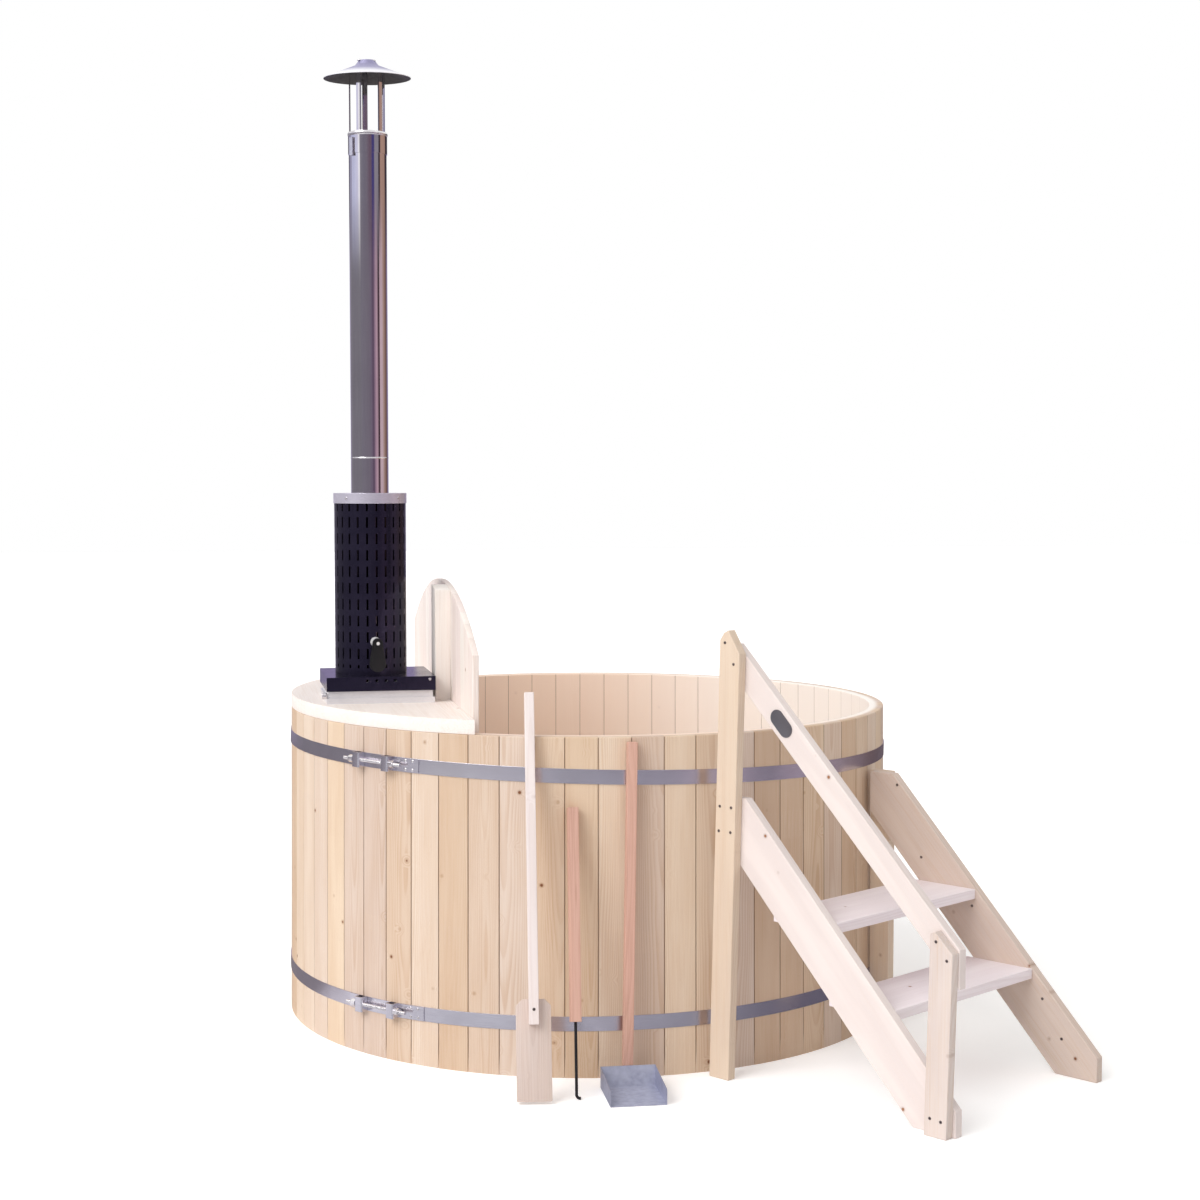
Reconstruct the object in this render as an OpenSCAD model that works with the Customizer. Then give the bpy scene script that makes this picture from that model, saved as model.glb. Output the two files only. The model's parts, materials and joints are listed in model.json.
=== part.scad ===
// Wooden hot tub with an inner wood-fired stove, a guard fence, side stairs and its tools.
// Millimetres. The origin is on the tub's axis at the ground, +Z is up, and the guard fence
// stands along Y, with the stove on its -X side and the bathers on its +X side.

/* [Tub] */
// Outside radius of the tub at the rim
tub_r = 920; // [860:1:1000]
// Extra radius of the wall at the ground, because the staves splay
wall_flare = 8; // [0:1:14]
// Height of the staves
tub_h = 930; // [880:1:1000]
// Thickness of a stave
stave_t = 42; // [36:1:48]
// Number of staves round the wall
stave_n = 64; // [54:1:72]
// Turn of the first stave joint
stave_turn = 2.1; // [0:0.1:5]
// Open joint between two staves
stave_gap = 0.3; // [0.2:0.05:0.5]
// Bevel along the outer edges of a stave
stave_bevel = 1.6; // [1:0.1:3]
// Height of the floor's underside above the ground
floor_z = 60; // [50:1:75]
// Thickness of the floor boards
floor_t = 42; // [34:1:46]
// Depth of the groove in the staves that holds the floor
croze_d = 12; // [8:1:16]
// Number of floor boards
floor_n = 13; // [9:1:17]
// Width of a bearer under the floor
bearer_w = 45; // [36:1:60]

/* [Hoops] */
// Width of a hoop band
hoop_w = 40; // [30:1:46]
// Thickness of a hoop band
hoop_t = 2; // [1.5:0.1:3]
// Depth of the upper hoop's middle below the rim
upper_hoop_drop = 111; // [90:1:140]
// Slope of the upper hoop, which sits askew and is lower on the bathers' side
upper_hoop_slope = 1.4; // [0:0.1:1.5]
// Height of the middle of the lower hoop
lower_hoop_z = 151; // [145:1:200]
// Slope of the lower hoop, which is a little lower on the stove's side
lower_hoop_slope = -0.5; // [-0.5:0.1:0.5]
// Place of the upper tensioner round the tub, counted from the front
upper_tension_turn = -51.05; // [-80:0.1:-45]
// Place of the lower tensioner round the tub, counted from the front
lower_tension_turn = -50.15; // [-80:0.1:-45]
// Distance between the middles of the two upper lugs
upper_lug_pitch = 114; // [105:1:140]
// Distance between the middles of the two lower lugs
lower_lug_pitch = 122; // [105:1:140]
// Width of a tension lug along the band
lug_w = 29; // [26:1:40]
// Height of a tension lug
lug_h = 42; // [41:1:50]
// How far a lug stands out from the band
lug_d = 22; // [21:1:30]
// Thickness of a lug's folded metal
lug_t = 3; // [2:0.5:4]
// Diameter of the tension rod
rod_d = 10; // [8:1:12]
// Depth of the tension rod's axis below the face of a lug
rod_in = 9; // [8:0.5:10]
// Length of rod beyond each nut
rod_out = 24; // [15:1:30]
// Width across the corners of a tension nut
nut_d = 22; // [19:1:23]
// Length of a tension nut
nut_t = 16; // [10:1:18]
// Length of the riveted strap end beyond the right lug
strap_l = 88; // [70:1:95]
// Diameter of a rivet head
rivet_d = 8; // [6:1:10]
// Height of a rivet head
rivet_h = 2; // [1:0.1:3]

/* [Deck and fence] */
// Thickness of the deck over the stove
deck_t = 40; // [34:1:46]
// Number of deck boards
deck_n = 4; // [3:1:6]
// Width of the deck over the stove, from the rim to the fence
deck_w = 455.3; // [440:0.1:480]
// Thickness of the fence boards
fence_t = 18; // [15:1:24]
// Number of fence boards
fence_n = 17; // [13:1:21]
// Gap between fence boards
fence_gap = 1.5; // [1:0.1:4]
// Rise of the fence's arch above the deck
arch_rise = 346; // [290:1:390]
// Radius of the fence's arch
arch_r = 1688; // [1500:1:2200]
// Free height under the fence boards, where water passes
fence_foot = 80; // [60:1:120]
// Depth of a fence post, away from the boards
post_d = 45; // [36:1:46]
// Width of a fence post
post_w = 95; // [80:1:110]
// Distance of a fence post's inner side from the middle of the fence
post_y = 164; // [150:1:190]
// Thickness of the fence rails and of the deck battens
rail_t = 28; // [22:1:32]
// Height of a fence rail
rail_h = 95; // [70:1:110]
// Width of a deck batten
batten_w = 45; // [36:1:50]

/* [Benches] */
// Angle of the tub's round that one bench takes
bench_a = 60; // [50:1:60]
// Height of the bench top above the ground
bench_z = 430; // [400:1:470]
// Distance of the bench's front edge from the rim
bench_reach = 360; // [320:1:380]
// Width of an inner bench board
bench_board_w = 100; // [90:1:105]
// Gap between bench boards
bench_gap = 5; // [3:1:10]
// Thickness of the bench boards and their supports
bench_t = 28; // [22:1:32]
// Distance of a bench support from the middle of its bench
support_y = 180; // [150:1:200]

/* [Stove] */
// Distance of the stove's middle from the rim, across the fence
stove_in = 244; // [236:1:248]
// Width of the stove body
stove_w = 236; // [220:1:240]
// Front end of the stove body
stove_front = 315; // [300:1:318]
// Rear end of the stove body
stove_rear = 340; // [330:1:345]
// Depth of the stove body's top below the rim
stove_drop = 50; // [40:1:80]
// Height of the stove's feet
foot_h = 30; // [20:1:45]
// Width of a stove foot
foot_w = 40; // [30:1:50]
// Thickness of the stove's sheet
sheet = 4; // [3:0.5:5]
// Number of grate bars
grate_n = 9; // [7:1:11]
// Diameter of a grate bar
grate_d = 12; // [10:1:14]
// Height of the grate above the stove's bottom
grate_h = 60; // [50:1:90]
// Width of the bright flange's lower step
flange_w = 314; // [308:1:318]
// Width of the bright flange's upper step
flange_top_w = 303; // [298:1:305]
// Height of the flange's lower step
flange_step_h = 16.5; // [14:0.5:18]
// Height of the flange that shows below the black cover
flange_h = 36.5; // [34:0.5:40]
// Thickness of the flange's wall
flange_t = 3; // [2:0.5:3.5]
// Distance of the flange's middle in front of the tub's axis
flange_y = 171; // [168:1:174]
// Width of the black cover
cover_w = 317.5; // [317:0.5:324]
// Height of the black cover
cover_h = 41; // [38:0.5:46]
// Thickness of the black cover's sheet
cover_t = 2; // [1.5:0.1:2.5]
// Number of air holes in the cover's front
vent_n = 4; // [3:1:5]
// Diameter of an air hole
vent_d = 9; // [7:0.5:10]
// Distance between air holes
vent_pitch = 27; // [24:0.5:30]
// Distance of the air holes below the cover's top
vent_drop = 11; // [9:0.5:12]

/* [Flue] */
// Distance of the flue's axis from the rim, across the fence
flue_in = 228; // [223:0.5:230]
// Distance of the flue's axis in front of the tub's axis
flue_y = 166.6; // [164:0.1:170]
// Outside diameter of the flue pipe
flue_d = 111; // [108:0.5:118]
// Wall of the flue pipe
flue_t = 1.5; // [1:0.1:2]
// Rise of the joint between the two flue pipes above the deck
flue_joint_rise = 716; // [680:1:750]
// Rise of the top of the flue pipe above the deck
flue_rise = 1671; // [1430:1:1730]
// Depth that one pipe or part goes into the next
spigot_l = 45; // [35:1:55]
// Height of the band round the top of the flue
band_h = 64; // [50:1:70]
// Outside diameter of the heat shield
shield_d = 212; // [205:1:225]
// Thickness of the heat shield's sheet
shield_t = 1.5; // [1:0.1:2]
// Rise of the top of the shield's collar above the deck
collar_rise = 612; // [570:1:630]
// Height of the shield's collar
collar_h = 30; // [24:1:36]
// Number of slots round the heat shield
slot_cols = 24; // [20:2:28]
// Number of rows of slots
slot_rows = 11; // [8:1:11]
// Width of a slot
slot_w = 6; // [5:0.5:7]
// Height of a slot
slot_h = 31; // [24:1:34]
// Distance between rows of slots
slot_pitch = 48.3; // [46:0.1:49]
// Height of the middle of the lowest row of slots above the cover
slot_low = 14.6; // [12:0.1:18]
// Plain foot of the heat shield below the slots
shield_foot = 20; // [14:1:22]
// Turn of the columns of slots
slot_turn = 5.1; // [0:0.1:15]
// Number of legs under the rain cap
cap_leg_n = 5; // [3:1:6]
// Width of a cap leg
cap_leg_w = 16; // [12:1:20]
// Diameter of the rain cap
cap_d = 256; // [220:1:280]
// Height of the rain cap's rim above the top of the flue
cap_lift = 158; // [140:1:200]
// Rise of the cap's cone
cap_rise = 36; // [20:1:40]
// Tilt of the rain cap towards the front
cap_nod = 2.4; // [0:0.1:4]
// Tilt of the rain cap towards the left
cap_sway = 1.3; // [0:0.1:3]
// Height of the cap's crown
crown_h = 17; // [10:1:20]
// Diameter of the cap's crown at its foot
crown_d = 70; // [60:1:80]

/* [Damper, hatch and air slide] */
// Rise of the damper's spindle above the deck
damper_rise = 176; // [165:1:230]
// Turn of the damper's spindle from straight ahead
damper_turn = 2; // [0:1:15]
// Diameter of the damper's spindle
spindle_d = 10; // [8:1:12]
// Diameter of the damper's bright hub
hub_d = 29; // [25:1:32]
// Length of the bright hub in front of the shield
hub_l = 62; // [50:1:70]
// Thickness of the damper plate
damper_t = 2; // [1.5:0.5:3]
// Length of the damper's lever below its spindle
lever_l = 84; // [70:1:88]
// Width of the lever's foot
lever_w = 48; // [38:1:52]
// Thickness of the lever
lever_t = 12; // [9:1:14]
// Width of the loading hatch's collar
hatch_w = 220; // [210:1:222]
// Length of the loading hatch's collar
hatch_l = 300; // [280:1:304]
// Front end of the hatch's collar, behind the tub's axis
hatch_y = 30; // [28:1:36]
// Height of the hatch's collar above the deck
hatch_rise = 30; // [26:1:34]
// Thickness of the hatch's lid
lid_t = 6; // [5:0.5:8]
// Overhang of the lid beyond its collar
lid_lip = 8; // [6:1:10]
// Diameter of the hatch's hinge pins
pin_d = 8; // [6:1:9]
// Outside diameter of the hinge knuckles
knuckle_d = 14; // [13:0.5:15]
// Length of a hinge knuckle
knuckle_l = 34; // [28:1:38]
// Diameter of the hatch's knob
knob_d = 32; // [26:1:38]
// Height of the hatch's knob
knob_h = 30; // [24:1:34]
// Diameter of the air slide's rod
air_rod_d = 8; // [6:1:8]
// Diameter of the air slide's knob
air_knob_d = 19; // [16:1:19]
// Length of the air slide's knob
air_knob_l = 14; // [12:1:20]

/* [Drain] */
// Outside diameter of the drain pipe
drain_d = 32; // [28:1:34]
// Bore of the drain pipe
drain_bore = 22; // [18:1:24]
// Height of the drain pipe's axis under the floor
drain_z = 30; // [28:1:34]
// Distance of the drain's inlet from the rim
drain_in = 140; // [120:1:180]
// Turn of the drain from straight ahead
drain_dir = 169; // [165:1:175]
// Length of the drain pipe outside the wall
drain_out = 40; // [30:1:60]
// Length of the valve's body
valve_l = 60; // [54:1:70]
// Width of the valve's body
valve_w = 50; // [48:1:56]
// Diameter of the valve's ball
ball_d = 34; // [32:1:36]
// Diameter of the valve's stem
stem_d = 8; // [6:1:10]
// Diameter of the hub of the valve's lever
stem_hub_d = 26; // [22:1:30]
// Height of the hub of the valve's lever
stem_hub_h = 11; // [9:1:14]
// Length of the valve's lever
valve_lever_l = 95; // [80:1:120]
// Width of the valve's lever
valve_lever_w = 16; // [12:1:20]
// Thickness of the valve's lever
valve_lever_t = 3; // [2:0.5:4]
// Diameter of the hose nozzle
nozzle_d = 19; // [16:0.5:20]
// Length of the hose nozzle
nozzle_l = 35; // [28:1:45]

/* [Stairs] */
// Turn of the stairs' run from +X
stairs_turn = -56.1; // [-65:0.01:-45]
// Slope of the stairs
stair_slope = 45.7; // [44:0.1:47]
// Thickness of the stairs' boards
stair_t = 28; // [24:1:32]
// Width of a stringer
stringer_w = 140; // [130:1:150]
// Distance from the tub's wall to where the stringers' upper edges would reach the ground
stair_reach = 891; // [876:1:906]
// Height of the stringers' flat tops
stringer_top = 769; // [755:1:775]
// Distance of the stringers' rear ends from the tub's wall
stringer_back = 59; // [51:1:71]
// Distance of the stringers' front ends from the tub's wall
stringer_front = 825; // [816:1:841]
// Sideways distance from the tub's axis to the near stringer's outer face
near_side = 378; // [370:1:385]
// Sideways distance from the tub's axis to the far stringer's inner face
far_side = 276; // [270:1:282]
// Height of the upper tread's top
upper_tread_z = 472; // [460:1:500]
// Height of the lower tread's top
lower_tread_z = 278; // [260:1:300]
// Depth of a tread
tread_d = 214; // [200:1:220]
// Width of the tall post and the rear post
tall_post_w = 69; // [60:1:72]
// Distance of the tall post's foot from the tub's wall
tall_post_s = 38; // [31:1:46]
// Depth of the tall post's peak below the line of the handrail's upper edge
tall_post_drop = 33.4; // [20:0.1:55]
// Width of the short post
short_post_w = 67; // [60:1:75]
// Distance of the short post's foot from the tub's wall
short_post_s = 749; // [741:1:756]
// Depth of the short post's peak below the same line
short_post_drop = 39.2; // [30:0.1:55]
// Lean of the posts away from the tub
post_lean = 1.6; // [0:0.1:2]
// Width of the handrail
handrail_w = 71; // [60:1:90]
// Slope of the handrail, which lies a little flatter than the stringers
handrail_slope = 44.6; // [43.5:0.1:46]
// Distance from the tub's wall to where the handrail's upper edge would reach the ground
handrail_reach = 1310; // [1296:1:1326]
// Distance of the handrail's rear end from the tub's wall
handrail_back = 109; // [105:1:113]
// Distance of the handrail's front end from the tub's wall
handrail_front = 832; // [826:1:851]
// Length of the blank oval plate on the handrail
oval_l = 84; // [70:1:95]
// Width of the blank oval plate
oval_w = 43; // [40:1:54]
// Thickness of the oval plate
oval_t = 2.5; // [2:0.1:4]
// Distance of the oval plate's middle from the tub's wall
oval_s = 264; // [246:1:281]
// Diameter of a screw head in the stairs
screw_d = 8; // [6:1:9]
// Height of a screw head
screw_h = 1.5; // [1:0.1:2]

/* [Tools] */
// Length of the paddle
paddle_l = 1087; // [1060:1:1110]
// Width of the paddle's blade
blade_w = 92; // [85:1:105]
// Height of the paddle's blade
blade_h = 262; // [245:1:275]
// Thickness of the paddle's blade
blade_t = 18; // [15:1:20]
// Side of the paddle's square handle
paddle_grip = 26; // [21:1:27]
// Height of the lower end of the paddle's handle on its blade
paddle_lap = 196; // [186:1:206]
// Distance of the paddle's foot from the rim
paddle_out = 270; // [240:1:295]
// Length of the poker
poker_l = 764; // [740:1:790]
// Length of the poker's iron rod below its handle
poker_rod_l = 200; // [180:1:220]
// Diameter of the poker's rod
poker_d = 8; // [6:1:10]
// Radius of the bend in the poker's hook
hook_r = 9; // [7:1:14]
// Distance of the poker's foot from the rim
poker_out = 205; // [180:1:230]
// Side of the square handles of the poker and the shovel
grip = 27; // [24:1:30]
// Length of the shovel's handle above the ground
shovel_l = 920; // [880:1:925]
// Distance of the shovel's handle from the rim at its foot
shovel_out = 75; // [60:1:90]
// Width of the scoop
scoop_w = 149; // [135:1:160]
// Depth of the scoop
scoop_l = 175; // [165:1:190]
// Height of the scoop's rear wall
scoop_h = 57; // [45:1:60]
// Height of the scoop's side walls at the front
scoop_front_h = 42; // [30:1:44]
// Thickness of the scoop's sheet
scoop_t = 1.5; // [1:0.1:2]

/* [Hidden] */
$fn = 64;

// Overrun of a cut beyond the surface that it opens
over = 3;
// Gap at which one piece is seated on another
seat = 0.2;
// Radial clearance of a pin that turns in its hole
fit = 0.05;
// Room between the valve's ball and its body
ball_room = 0.1;
// Bore of the valve's ball, as a share of the pipe's bore
ball_bore_share = 0.6;
// Sheet of the legs and of the band at the top of the flue
strap_t = 1.5;
// Sheet of the rain cap
cap_t = 1.5;
// Sheet of the shield's collar
collar_t = 2;
// Bevel on the rim of the staves
rim_bevel = 3;
// Room between the flue's bore and the damper plate
damper_room = 1.5;
// Clearance of the spindle through the heat shield
shield_hole_room = 2;
// Length of the black cap in front of the damper's hub
lever_cap_l = 8;
// Open slit between the two ends of a hoop band
hoop_slit = 6;
// Places of the bearers, as shares of the tub's radius
bearer_shares = [-0.53, 0, 0.53];
// Places of the rails, as shares of the height between the floor and the rim
rail_shares = [0.16, 0.72];
// Places of the rivets on a strap end, as shares of its length
rivet_shares = [0.5, 0.78];
// Distance of the rivets from the band's middle, as a share of its width
rivet_rise_share = 0.3;
// Screws in the tall post: distance across as a share of its width, drop from the peak
// as a share of its height
tall_screw_shares = [[0.28, 0.028], [0.74, 0.074], [0.22, 0.39], [0.8, 0.39], [0.2, 0.445], [0.8, 0.445]];
// Screws in the short post: the same shares
short_screw_shares = [[0.28, 0.047], [0.78, 0.13], [0.26, 0.91], [0.75, 0.915]];
// Corners of the tall post's top: place across and drop from the peak, as shares of its width
tall_top_shares = [[1, 0.9], [0.42, 0], [0.2, 0.12], [0, 0.4]];
// Corners of the short post's top: the same shares
short_top_shares = [[1, 0.74], [0.2, 0], [0, 0.1]];
// Screws in the far stringer's inner face: height as a share of the stringer's top, and place
// across the board as a share of its width
far_screw_shares = [[0.96, 0.07], [0.7, 0.62], [0.55, 0.3], [0.26, 0.22], [0.13, 0.4]];
// Turns of the paddle, the poker and the shovel round the tub
paddle_turn = -17.5;
poker_turn = -12.41;
shovel_turn = -4.82;
// Sideways lean of the paddle, the poker and the shovel
paddle_roll = -3.05;
poker_roll = -1.27;
shovel_roll = 1.27;
// Turn of the paddle and of the other handles about their own length
paddle_yaw = 11.2;
poker_yaw = 15;
shovel_yaw = 2.2;
// Bevel on the top corners of the paddle's blade, as a share of its width
blade_bevel_share = 0.18;
// Length of the flat end of the poker's hook
hook_tip = 2;
// Turn of the first leg under the rain cap
cap_leg_turn = -33;
// Rise of the poker's handle above the end of its rod
poker_lap = 26;

upper_hoop_z = tub_h - upper_hoop_drop;
hoop_zs = [upper_hoop_z, lower_hoop_z];
hoop_slopes = [upper_hoop_slope, lower_hoop_slope];
tension_turns = [upper_tension_turn, lower_tension_turn];
lug_pitches = [upper_lug_pitch, lower_lug_pitch];
pitch_a = 360 / stave_n;
gap_a = stave_gap / tub_r * 180 / PI;
splay_a = atan(wall_flare / tub_h);
floor_top = floor_z + floor_t;
deck_top = tub_h + deck_t;
arch_top = deck_top + arch_rise;
fence_off = tub_r - deck_w;
bench_in = tub_r - bench_reach;
stove_x = tub_r - stove_in;
stove_top = tub_h - stove_drop;
drain_r = tub_r - drain_in;
cover_z = deck_top + flange_h;
cover_top = cover_z + cover_h;
flue_r = flue_d / 2;
flue_bore = flue_r - flue_t;
shield_r = shield_d / 2;
flue_x = tub_r - flue_in;
flue_joint_z = deck_top + flue_joint_rise;
flue_top_z = deck_top + flue_rise;
collar_z = deck_top + collar_rise;
damper_z = deck_top + damper_rise;
cap_z = flue_top_z + cap_lift;
hatch_top = deck_top + hatch_rise;
lid_z = hatch_top + seat;
hinge_x = -stove_x + hatch_w / 2 + lid_lip + knuckle_d / 2;
hinge_z = hatch_top + lid_t / 2;
flange_front = -flange_y - flange_top_w / 2;
shutter_y = flange_front + flange_t + 2 * seat;
air_rod_y = shutter_y + air_rod_d / 2;
air_rod_z = deck_top + flange_step_h + air_rod_d / 2 + flange_t;
vent_z = cover_top - vent_drop;
drain_k = round((drain_dir - stave_turn) / pitch_a - 1 / 2);
drain_a = stave_turn + (drain_k + 1 / 2) * pitch_a;
slope_up = tan(stair_slope);
handrail_up = tan(handrail_slope);
tall_post_h = handrail_z(tall_post_s) - tall_post_drop;
short_post_h = handrail_z(short_post_s) - short_post_drop;
ball_bore = ball_bore_share * drain_bore;
knuckle_ys = [hatch_y + hatch_l / 4, hatch_y + 3 * hatch_l / 4];

// Outside radius of the wall at height z
function wall_r(z) = tub_r + wall_flare * (1 - z / tub_h);
// Distance from the tub's axis to its wall at the near stringer
wall_s = chord(tub_r, near_side);
// Height of a stringer's upper edge at distance s from the wall
function stringer_z(s) = (stair_reach - s) * slope_up;
// Height of the handrail's upper edge at distance s from the wall
function handrail_z(s) = (handrail_reach - s) * handrail_up;
// Half length of the chord of the circle r at the distance x
function chord(r, x) = sqrt(r * r - x * x);

// Turns its children to the place a round the tub, counted from the front
module at(a) {
    rotate([0, 0, a]) children();
}

// A box from its lowest to its highest corner
module span_box(low, high) {
    translate(low) cube(high - low);
}

module stave(k) {
    zi = floor_z - seat;
    zt = floor_top + seat;
    rotate([0, 0, stave_turn - 90 + k * pitch_a + gap_a / 2])
    difference() {
        rotate_extrude(angle = pitch_a - gap_a, $fn = 360)
            polygon([
                [wall_r(0) - stave_t, 0], [wall_r(0), 0],
                [wall_r(tub_h - rim_bevel), tub_h - rim_bevel], [tub_r - rim_bevel, tub_h],
                [tub_r - stave_t + rim_bevel, tub_h], [tub_r - stave_t, tub_h - rim_bevel],
                [wall_r(zt) - stave_t, zt], [wall_r(zt) - stave_t + croze_d, zt],
                [wall_r(zi) - stave_t + croze_d, zi], [wall_r(zi) - stave_t, zi]
            ]);
        for (a = [0, pitch_a - gap_a]) rotate([0, 0, a])
            translate([wall_r(0), 0, 0]) rotate([0, -splay_a, 0]) translate([0, 0, -over])
                rotate([0, 0, 45]) linear_extrude(tub_h + 2 * over)
                    square(stave_bevel * sqrt(2), center = true);
        if (k == drain_k) rotate([0, 0, pitch_a / 2 - gap_a / 2])
            translate([0, 0, drain_z]) rotate([0, 90, 0])
                cylinder(d = drain_d + 2 * seat, h = 2 * tub_r);
    }
}

module wall_staves() {
    color("burlywood") for (k = [0 : stave_n - 1]) stave(k);
}

module floor_boards() {
    r = wall_r(floor_top + seat) - stave_t + croze_d - seat;
    w = 2 * r / floor_n;
    color("tan") difference() {
        for (k = [0 : floor_n - 1]) intersection() {
            translate([0, 0, floor_z]) cylinder(r = r, h = floor_t, $fn = 180);
            span_box(
                [-r, -r + k * w + stave_gap / 2, floor_z],
                [r, -r + (k + 1) * w - stave_gap / 2, floor_top]
            );
        }
        at(drain_a) translate([0, -drain_r, floor_z - over])
            cylinder(d = drain_d + 2 * seat, h = floor_t + 2 * over);
    }
}

module floor_bearers() {
    r = wall_r(0) - stave_t - rim_bevel;
    color("tan") for (share = bearer_shares) {
        x = share * tub_r;
        l = chord(r, abs(x) + bearer_w / 2);
        span_box([x - bearer_w / 2, -l, 0], [x + bearer_w / 2, l, floor_z]);
    }
}

// The frame of a hoop, which slopes with its band: which is 0 for the upper and 1 for the lower one
module on_hoop(which) {
    translate([0, 0, hoop_zs[which]]) rotate([0, hoop_slopes[which], 0]) children();
}

// Inside radius of a band at the height rise from its middle
function band_r(which, rise) = wall_r(hoop_zs[which] + rise) / cos(hoop_slopes[which]) + seat;
// Outside radius of a band below its lugs
function lug_r(which) = band_r(which, -lug_h / 2) + hoop_t;

// Distance of a tension rod from the tub's axis
function rod_r(which) = lug_r(which) + seat + lug_d - rod_in;

// A sloping band, cut inside to the shape of the wall
module hoop(which) {
    w = hoop_w / 2;
    slit = hoop_slit / tub_r * 180 / PI;
    start = tension_turns[which] - 90 - lug_pitches[which] / 2 / tub_r * 180 / PI + slit;
    difference() {
        on_hoop(which) rotate([0, 0, start]) rotate_extrude(angle = 360 - slit, $fn = 360)
            polygon([
                [band_r(which, -w) - hoop_t / 2, -w], [band_r(which, -w) + hoop_t, -w],
                [band_r(which, w) + hoop_t, w], [band_r(which, w) - hoop_t / 2, w]
            ]);
        cylinder(r1 = wall_r(0) + seat, r2 = tub_r + seat, h = tub_h, $fn = 360);
    }
}

module upper_hoop() {
    color("slategray") hoop(0);
}

module lower_hoop() {
    color("slategray") hoop(1);
}

// One folded strap end: a lug with its rod hole, and the strap that is riveted to the band.
// side is 1 for the right one and -1 for the left one, whose strap is shorter.
module tension_lug(which, side) {
    r = lug_r(which) + seat;
    x = lug_pitches[which] / 2;
    l = side > 0 ? strap_l : strap_l / 2;
    round_r = lug_d / 4;
    a0 = (x - lug_w / 2) / r * 180 / PI;
    a1 = (x + lug_w / 2 + l) / r * 180 / PI;
    on_hoop(which) at(tension_turns[which]) mirror([side > 0 ? 0 : 1, 0, 0]) difference() {
        union() {
            translate([x - lug_w / 2, -r - lug_d, -lug_h / 2]) linear_extrude(lug_h) difference() {
                union() {
                    translate([round_r, 0]) square([lug_w - 2 * round_r, lug_d + hoop_w]);
                    translate([0, round_r]) square([lug_w, lug_d + hoop_w]);
                    for (u = [round_r, lug_w - round_r]) translate([u, round_r]) circle(round_r);
                }
                translate([lug_t, lug_t]) square([lug_w - 2 * lug_t, lug_d - lug_t]);
            }
            rotate([0, 0, a0 - 90]) translate([0, 0, -lug_h / 2 + strap_t])
                rotate_extrude(angle = a1 - a0, $fn = 360)
                    translate([r, 0]) square([hoop_t, lug_h - 2 * strap_t]);
        }
        translate([0, 0, -lug_h]) cylinder(r = r, h = 2 * lug_h, $fn = 360);
        translate([x - lug_w, -r - lug_d + rod_in, 0]) rotate([0, 90, 0])
            cylinder(d = rod_d + 2 * fit, h = 2 * lug_w);
    }
}

module tension_lugs() {
    color("silver") for (which = [0, 1]) {
        tension_lug(which, 1);
        tension_lug(which, -1);
    }
}

module tension_rods() {
    color("gainsboro") for (which = [0, 1]) {
        l = lug_pitches[which] + lug_w + 2 * (nut_t + rod_out);
        on_hoop(which) at(tension_turns[which]) translate([-l / 2, -rod_r(which), 0])
            rotate([0, 90, 0]) cylinder(d = rod_d, h = l);
    }
}

module tension_nuts() {
    color("gainsboro") for (which = [0, 1], side = [-1, 1]) {
        x = lug_pitches[which] / 2 + lug_w / 2 + seat;
        on_hoop(which) at(tension_turns[which])
            translate([side > 0 ? x : -x - nut_t, -rod_r(which), 0])
                rotate([0, 90, 0]) difference() {
                    cylinder(d = nut_d, h = nut_t, $fn = 6);
                    translate([0, 0, -over]) cylinder(d = rod_d + 2 * fit, h = nut_t + 2 * over);
                }
    }
}

module hoop_rivets() {
    color("gainsboro") for (which = [0, 1], share = rivet_shares, rise = [-1, 1]) {
        r = lug_r(which) + seat + hoop_t;
        a = (lug_pitches[which] / 2 + lug_w / 2 + share * strap_l) / r * 180 / PI;
        on_hoop(which) at(tension_turns[which] + a) translate([0, -r, rise * rivet_rise_share * hoop_w])
            rotate([90, 0, 0]) cylinder(d = rivet_d, h = rivet_h, $fn = 24);
    }
}

module deck_boards() {
    w = (tub_r - fence_off) / deck_n;
    hole = flange_top_w - 2 * flange_t;
    color("wheat") difference() {
        for (k = [0 : deck_n - 1]) intersection() {
            translate([0, 0, tub_h + seat]) cylinder(r = tub_r, h = deck_t - seat, $fn = 360);
            span_box(
                [-tub_r - over + k * w, -tub_r, tub_h],
                [-tub_r + (k + 1) * w - stave_gap, tub_r, deck_top]
            );
        }
        translate([-stove_x, -flange_y, tub_h]) cube([hole, hole, 3 * deck_t], center = true);
        span_box(
            [-stove_x - hatch_w / 2 - seat, hatch_y - seat, tub_h - over],
            [-stove_x + hatch_w / 2 + seat, hatch_y + hatch_l + seat, deck_top + over]
        );
        mirror([0, 1, 0]) span_box(
            [-fence_off - post_d - seat, post_y - seat, tub_h - over],
            [-fence_off + over, post_y + post_w + seat, deck_top + over]
        );
    }
}

// The battens stand before, between and behind the two openings of the deck
module deck_battens() {
    r = tub_r - stave_t - rim_bevel;
    front = -flange_y - flange_top_w / 2 - batten_w;
    middle = (hatch_y - flange_y + flange_top_w / 2 - batten_w) / 2;
    rear = hatch_y + hatch_l + seat;
    color("wheat") for (y = [front, middle, rear]) {
        l = chord(r, max(abs(y), abs(y + batten_w)));
        span_box([-l, y, tub_h - rail_t], [-fence_off - seat, y + batten_w, tub_h]);
    }
}

// Everything of the fence is cut to the arch at its top
module arch() {
    translate([-fence_off - post_d - over, 0, arch_top - arch_r]) rotate([0, 90, 0])
        cylinder(r = arch_r, h = post_d + fence_t + 2 * over, $fn = 360);
}

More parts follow.
